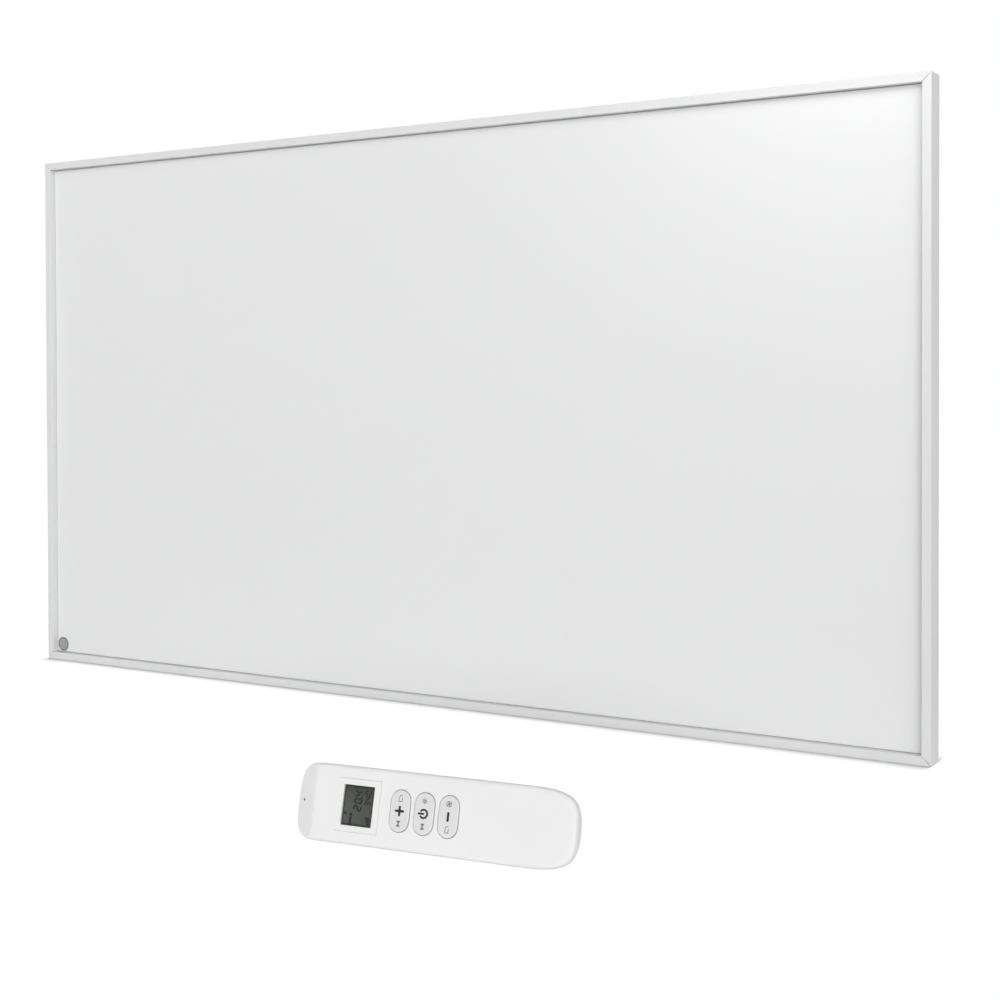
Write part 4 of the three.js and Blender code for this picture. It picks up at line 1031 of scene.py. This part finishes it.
print_button("button_plus", plus_mark, hourglass_sign, window_sign, "plus_button")
print_button("button_power", power_mark, hourglass_sign, sun_sign, "power_button")
print_button("button_minus", minus_mark, window_sign, fan_sign, "minus_button")

# %% [markdown]
# ## Digits of the display
#
# A liquid crystal digit has seven bars with pointed ends. One function draws any number
# from them, another places a row of them, and a table says which bars each digit lights.
# The large number is the room's temperature and the smaller one the time. Beside them
# stand a small sun, a level bar and a stack of blocks.

# %% Seven bars
LIT = {"0": "abcdef", "2": "abged", "3": "abgcd", "4": "fgbc", "5": "afgcd"}
bar_slant = 0.06


def digit(symbol, x, y, width, height, stroke):
    """The lit bars of one digit, with its middle at x and y."""
    w, h = width / 2, height / 2
    gap = stroke * 0.12
    runs = {
        "a": ((-w, h), (w, h)), "b": ((w, h), (w, 0)), "c": ((w, 0), (w, -h)),
        "d": ((-w, -h), (w, -h)), "e": ((-w, 0), (-w, -h)), "f": ((-w, h), (-w, 0)),
        "g": ((-w, 0), (w, 0)),
    }
    bars = []
    for letter in LIT[symbol]:
        start, end = (Vector(p) for p in runs[letter])
        heading = (end - start).normalized()
        side = Vector((-heading.y, heading.x)) * stroke / 2
        start, end = start + heading * gap, end - heading * gap
        shoulder = heading * stroke / 2
        corners = [start, start + shoulder + side, end - shoulder + side, end,
                   end - shoulder - side, start + shoulder - side]
        bars.append([Vector((x + p.x + bar_slant * p.y, y + p.y)) for p in corners])
    return bars


def number(text, x, y, width, height, stroke, pitch):
    """A row of digits whose first one has its middle at x and y. A point takes no room."""
    bars = []
    for symbol in text:
        if symbol == ".":
            spot = (x - pitch / 2, y - height / 2)
            bars.append(round_bar(spot, (spot[0] + stroke * 0.1, spot[1]), stroke, 5))
            continue
        bars += digit(symbol, x, y, width, height, stroke)
        x += pitch
    return bars


def mm(*coordinates):
    return Vector(coordinates) * MM


def display_signs():
    """The small signs round the numbers, in the display's own coordinates."""
    level = [
        round_bar(mm(-11.0, 4.4), mm(-6.9, 4.4), 1.3 * MM, 3),
        polygon(mm(-6.0, 3.4), mm(-4.6, 3.4), mm(-4.6, 5.2), mm(-6.0, 5.2)),
    ]
    centre = mm(-4.8, 8.1)
    sun = [round_ring(centre, 0.45 * MM, 0.5 * MM),
           *rays(centre, 6, 0.85 * MM, 1.15 * MM, 0.3 * MM)]
    blocks = []
    for i in range(4):
        left, right = -10.4 + 1.15 * i, -9.55 + 1.15 * i
        top, bottom = -7.05 + 0.55 * i, -8.6
        corners = ((left, bottom), (right, bottom), (right, top), (left, top))
        blocks.append([mm(*corner) for corner in corners])
    degree = [round_ring(mm(9.9, 2.2), 0.5 * MM, 0.35 * MM)]
    return level + sun + blocks + degree


# %% Display print
outlines = number("20.4", -1.4 * MM, 0.4 * MM, width=2.5 * MM, height=4.7 * MM,
                  stroke=1.05 * MM, pitch=4.2 * MM)
outlines += number("340", 1.7 * MM, -6.2 * MM, width=1.9 * MM, height=3.5 * MM,
                   stroke=0.85 * MM, pitch=3.15 * MM)
outlines += display_signs()
mesh = ink_mesh("display_print", outlines, ink_thickness)
lcd_ink = make_ink("lcd_ink", (0.012, 0.014, 0.011), Specular_IOR_Level=0.2)
place = print_place("display_glass")
link_piece("display_print", mesh, lcd_ink, "remote", place)
print("display print:", len(outlines), "outlines")

# %% [markdown]
# ## Screws with a cross recess
#
# The control box lid and the remote are closed by pan-head screws. The solids have the
# head's round shape, but a real head has a cross for the driver. The cross is cut with a
# boolean, once, into a turned head, and the finished mesh is shared by every screw of
# that size.


# %% Turned meshes
def full_circle(steps):
    return [2 * math.pi * i / steps for i in range(steps)]


def join_rings(drawing, rings, steps, closed=False):
    """Faces between each ring of corners and the next. A ring of one corner is a tip."""
    following = rings[1:] + rings[:1] if closed else rings[1:]
    for lower, upper in zip(rings, following):
        for i in range(steps):
            after = (i + 1) % steps
            corners = [lower[i % len(lower)], lower[after % len(lower)],
                       upper[after % len(upper)], upper[i % len(upper)]]
            drawing.faces.new(list(dict.fromkeys(corners)))


def turned_mesh(name, profile, steps=40, closed=False, smooth=True):
    """A closed mesh turned round the y axis from (radius, y) pairs.

    The profile starts and ends on the axis, or is closed and runs round a hole.
    """
    drawing = bmesh.new()
    rings = []
    for radius, y in profile:
        turns = full_circle(steps) if radius else [0]
        rings.append([drawing.verts.new((radius * math.cos(t), y, radius * math.sin(t)))
                      for t in turns])
    join_rings(drawing, rings, steps, closed)
    return store_mesh(drawing, name, smooth)


def cut_from(mesh, cutters):
    """Cuts closed meshes out of another one and returns the result."""
    body = new_object("cut_body", mesh)
    helpers = []
    for cutter in cutters:
        helper = new_object("cutter", cutter)
        cut = body.modifiers.new("cut", "BOOLEAN")
        cut.operation = "DIFFERENCE"
        cut.solver = "EXACT"
        cut.object = helper
        helpers.append(helper)
    graph = bpy.context.evaluated_depsgraph_get()
    result = bpy.data.meshes.new_from_object(body.evaluated_get(graph))
    for helper in [body, *helpers]:
        bpy.data.objects.remove(helper)
    return result


def block_mesh(low, high):
    drawing = bmesh.new()
    bmesh.ops.create_cube(drawing, size=1)
    size = Vector(high) - Vector(low)
    for vertex in drawing.verts:
        vertex.co = Vector(low) + Vector(size[i] * (vertex.co[i] + 0.5) for i in range(3))
    return store_mesh(drawing, "cutter")


# %% Screws
def screw_mesh(name, head, head_height, shank, length):
    """A pan-head screw with its seat at y = 0, its crown at +y and its tip at -y."""
    crown = [(head / 2 * math.cos(t), head_height * (0.35 + 0.65 * math.sin(t)))
             for t in (math.radians(a) for a in range(0, 90, 15))]
    tip, pitch, root = 0.8 * shank, 0.34 * shank, 0.41 * shank
    profile = [(0, -length), (shank * 0.2, -length), (shank / 2, tip - length)]
    turns = int((length - tip - shank / 2) / pitch)
    for i in range(turns):
        y = tip - length + i * pitch
        profile += [(root, y + shank * 0.1), (shank / 2, y + shank * 0.24)]
    profile += [(root, -0.1 * shank), (root, 0), (head / 2, 0), *crown, (0, head_height)]
    arm, web, floor = head * 0.3, head * 0.055, head_height * 0.35
    cutters = [
        block_mesh((-arm, floor, -web), (arm, head_height * 2, web)),
        block_mesh((-web, floor, -arm), (web, head_height * 2, arm)),
    ]
    mesh = cut_from(turned_mesh(name, profile), cutters)
    mesh.name = name
    return mesh


first_turn, next_turn = 0.4, 0.9


def replace_screws(stem, body, axes):
    """Puts one shared screw mesh, turned a little differently each time, in every seat."""
    shared = None
    for count, name in enumerate(sorted(ends(stem))):
        points, low, high = along_axes(name, axes)
        middle = (low + high) / 2
        head = high.x - low.x
        seat = min(p.y for p in points if abs(p.x - middle.x) > head * 0.45)
        shank = 2 * max(abs(p.x - middle.x) for p in points if p.y < seat - 0.01 * MM)
        if shared is None:
            shared = screw_mesh(stem + "mesh", head, high.y - seat, shank, seat - low.y)
        turn = Matrix.Rotation(first_turn + next_turn * count, 4, "Y")
        matrix = axes.to_4x4() @ turn
        matrix.translation = axes @ Vector((middle.x, seat, middle.z))
        piece = link_piece(name + "_cross", shared, bright_steel, body, matrix)
        soften(piece, 0.05 * MM, 1, 40)
        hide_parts(name)
    print(stem, "head", round(head / MM, 2), "mm, shank", round(shank / MM, 2), "mm")


replace_screws("lid_screw_", "panel", Matrix.Identity(3))
replace_screws("remote_screw_", "remote", remote_axes)

# %% [markdown]
# ## Rivets of the hanger plates
#
# Each hanger plate is held to the back plate by four blind rivets, two through each
# flange. A blind rivet has a low round head with a small hole where its pin broke off, so
# its profile is turned rather than a ball squashed flat.


# %% Rivets
def rivet_profile(radius, height):
    dome = [(radius * math.cos(t), height * math.sin(t))
            for t in (math.radians(a) for a in (0, 20, 40, 58, 70))]
    hole = radius * 0.3
    return [(0, 0), *dome, (hole, height * 0.97), (hole * 0.9, height * 0.35),
            (0, height * 0.35)]


rivet_radius = 2.3 * MM
rivet_height = 0.8 * MM
rivet_from_end = 8 * MM
rivet_from_side = 5 * MM


def rivet_hanger(name):
    low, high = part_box(name)
    flange = max(v.co.y for v in nodes[name].data.vertices
                 if abs(v.co.x - low.x) < 0.1 * MM)
    drawing = bmesh.new()
    for x in (low.x + rivet_from_side, high.x - rivet_from_side):
        for z in (low.z + rivet_from_end, high.z - rivet_from_end):
            head = turned_mesh("rivet", rivet_profile(rivet_radius, rivet_height), 28)
            head.transform(Matrix.Translation((x, flange, z)))
            drawing.from_mesh(head)
            bpy.data.meshes.remove(head)
    mesh = store_mesh(drawing, name + "_rivets")
    link_piece(name + "_rivets", mesh, bright_steel, "panel")


for hanger in ends("hanger_plate_"):
    rivet_hanger(hanger)
print("riveted", len(ends("hanger_plate_")), "hangers")

# %% [markdown]
# ## Ribs of the cable gland
#
# The gland's collar is turned by hand or with pliers, so its side is ribbed. The solid
# has the plain collar. Here the same section is turned again, with its outer radius
# drawn in between the ribs.


# %% Cable gland
def ribbed_mesh(name, profile, ribs, depth):
    """A closed ring turned round z. A point is (radius, z, share of the ribs it has)."""
    drawing = bmesh.new()
    steps = ribs * 6
    rings = []
    for radius, z, share in profile:
        ring = []
        for angle in full_circle(steps):
            groove = (0.5 - 0.5 * math.cos(ribs * angle)) ** 3
            reach = radius - depth * share * groove
            ring.append(drawing.verts.new((reach * math.cos(angle), reach * math.sin(angle), z)))
        rings.append(ring)
    join_rings(drawing, rings, steps, closed=True)
    return store_mesh(drawing, name, smooth=True)


low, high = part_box("cable_gland")
middle = (low + high) / 2
box_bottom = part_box("control_box_base")[0].z
radius, height, collar = (high.x - low.x) / 2, high.z - low.z, box_bottom - low.z
from_axis = [(math.hypot(v.co.x - middle.x, v.co.y - middle.y), v.co.z)
             for v in nodes["cable_gland"].data.vertices]
bore = min(distance for distance, z in from_axis)
neck = max(distance for distance, z in from_axis if z > box_bottom + 1 * MM)
lip = collar - 0.1 * MM
profile = [
    (bore, 0, 0), (radius * 0.8, 0, 0), (radius * 0.86, 0.5 * MM, 0),
    (radius * 0.97, 1.6 * MM, 0.4), (radius, 2.2 * MM, 1), (radius, collar - 1.8 * MM, 1),
    (radius * 0.98, collar - 1.4 * MM, 0), (radius, collar - 1.1 * MM, 0),
    (radius, lip, 0), (neck, lip, 0), (neck, height, 0), (bore, height, 0),
]
gland_mesh = ribbed_mesh("cable_gland_ribbed", profile, ribs=16, depth=0.7 * MM)
gland_mesh.transform(Matrix.Translation((middle.x, middle.y, low.z)))
gland = link_piece("cable_gland_ribbed", gland_mesh, black_plastic, "panel")
soften(gland, 0.1 * MM, 1, 50)
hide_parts("cable_gland")
print("gland bore", round(2 * bore / MM, 2), "mm, thread", round(2 * neck / MM, 2), "mm")

# %% [markdown]
# ## On and off marks of the rocker switch
#
# A rocker switch carries a bar on one lobe and a ring on the other, moulded into its
# faces. They lie on the two slopes of the rocker, so each is made flat and then laid on
# its slope, which is measured from the solid.

# %% Rocker marks
white_ink = make_ink("white_ink", (0.55, 0.55, 0.55))


def rocker_slopes():
    """The two lowest faces of the rocker: their middles and their normals."""
    mesh = nodes["switch_rocker"].data
    found = {}
    for face in mesh.polygons:
        if face.normal.z < -0.8 and abs(face.normal.y) < 0.1:
            key = round(face.normal.x, 2)
            total, middle, _ = found.get(key, (0.0, Vector(), None))
            found[key] = (total + face.area, middle + face.center * face.area,
                          face.normal.copy())
    largest = sorted(found.values(), key=lambda f: -f[0])[:2]
    return [(middle / total, normal) for total, middle, normal in largest]


def lay_mark(name, outlines, middle, normal):
    across = Vector((0, 1, 0))
    rail = across.cross(normal).normalized()
    matrix = Matrix((rail, -normal, rail.cross(-normal))).transposed().to_4x4()
    matrix.translation = middle + normal * ink_seat
    mesh = ink_mesh(name, outlines, ink_thickness)
    link_piece(name, mesh, white_ink, "rocker", matrix)


slopes = sorted(rocker_slopes(), key=lambda s: s[0].x)
lay_mark("rocker_mark_on", [round_bar((-1.1 * MM, 0), (1.1 * MM, 0), 0.5 * MM)], *slopes[0])
lay_mark("rocker_mark_off", [round_ring((0, 0), 1.0 * MM, 0.45 * MM)], *slopes[1])
print("rocker slopes:", [[round(c, 4) for c in middle] for middle, normal in slopes])

# %% [markdown]
# ## Rim of the corner disc
#
# A small round disc sits in the lower left corner of the plate. It is plain, with a
# darker rim. The rim is a separate turned ring that lies on the edge of the disc.

# %% Disc rim
disc_low, disc_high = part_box("corner_disc")
disc_middle = (disc_low + disc_high) / 2
disc_radius = (disc_high.x - disc_low.x) / 2
rim_width = 1.4 * MM
rim_proud = 0.12 * MM
inner, outer = disc_radius - rim_width, disc_radius
shoulder = 0.8 * rim_proud
section = [(inner, 0), (inner + rim_proud, -shoulder), ((inner + outer) / 2, -rim_proud),
           (outer - rim_proud, -shoulder), (outer, 0)]
rim_mesh = turned_mesh("corner_disc_rim", section, 64, closed=True, smooth=False)
rim_mesh.transform(Matrix.Translation((disc_middle.x, disc_low.y, disc_middle.z)))
dark_rim = make_moulded("dark_rim", (0.17, 0.17, 0.172), (0.14, 0.14, 0.142), 0.45)
link_piece("corner_disc_rim", rim_mesh, dark_rim, "panel")
print("disc radius", round(disc_radius / MM, 2), "mm")

# %% [markdown]
# ## Seam along the lower rail
#
# In the picture no dark line shows between the plate and the lower rail, while the gap
# along the other rails shows as one. The solids keep the same small gap on all four sides.
# Here a thin hollow fillet, as powder leaves in a corner, closes the lower gap towards the
# room. It is a section drawn out along the rail, and too fine for the solids.

# %% Seam
seam_height = 0.25 * MM
seam_depth = 0.6 * MM
seam_gap = 0.01 * MM
seam_steps = 6


def seam_mesh(name, section, start, end):
    """A section of (y, z) points drawn out along x."""
    drawing = bmesh.new()
    near = [drawing.verts.new((start, y, z)) for y, z in section]
    far = [drawing.verts.new((end, y, z)) for y, z in section]
    for side in prism(drawing, near, far)[:-2]:
        side.smooth = True
    return store_mesh(drawing, name)


plate_low, plate_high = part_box("front_plate")
lip_top = max(v.co.z for v in nodes["rail_bottom"].data.vertices
              if v.co.y < plate_low.y - seam_depth)
front, back = plate_low.y - seam_depth, plate_low.y - seam_gap
foot_z, top_z = lip_top + seam_gap, plate_low.z + seam_height
section = [(back, foot_z)]
for i in range(seam_steps + 1):
    turn = math.radians(90 / seam_steps * i)
    section.append((front + (back - front) * math.sin(turn),
                    top_z - (top_z - foot_z) * math.cos(turn)))
seam = seam_mesh("plate_seam", section, plate_low.x, plate_high.x)
link_piece("plate_seam", seam, powder_coat, "panel")
print("seam bridges", round((plate_low.z - lip_top) / MM, 2), "mm")
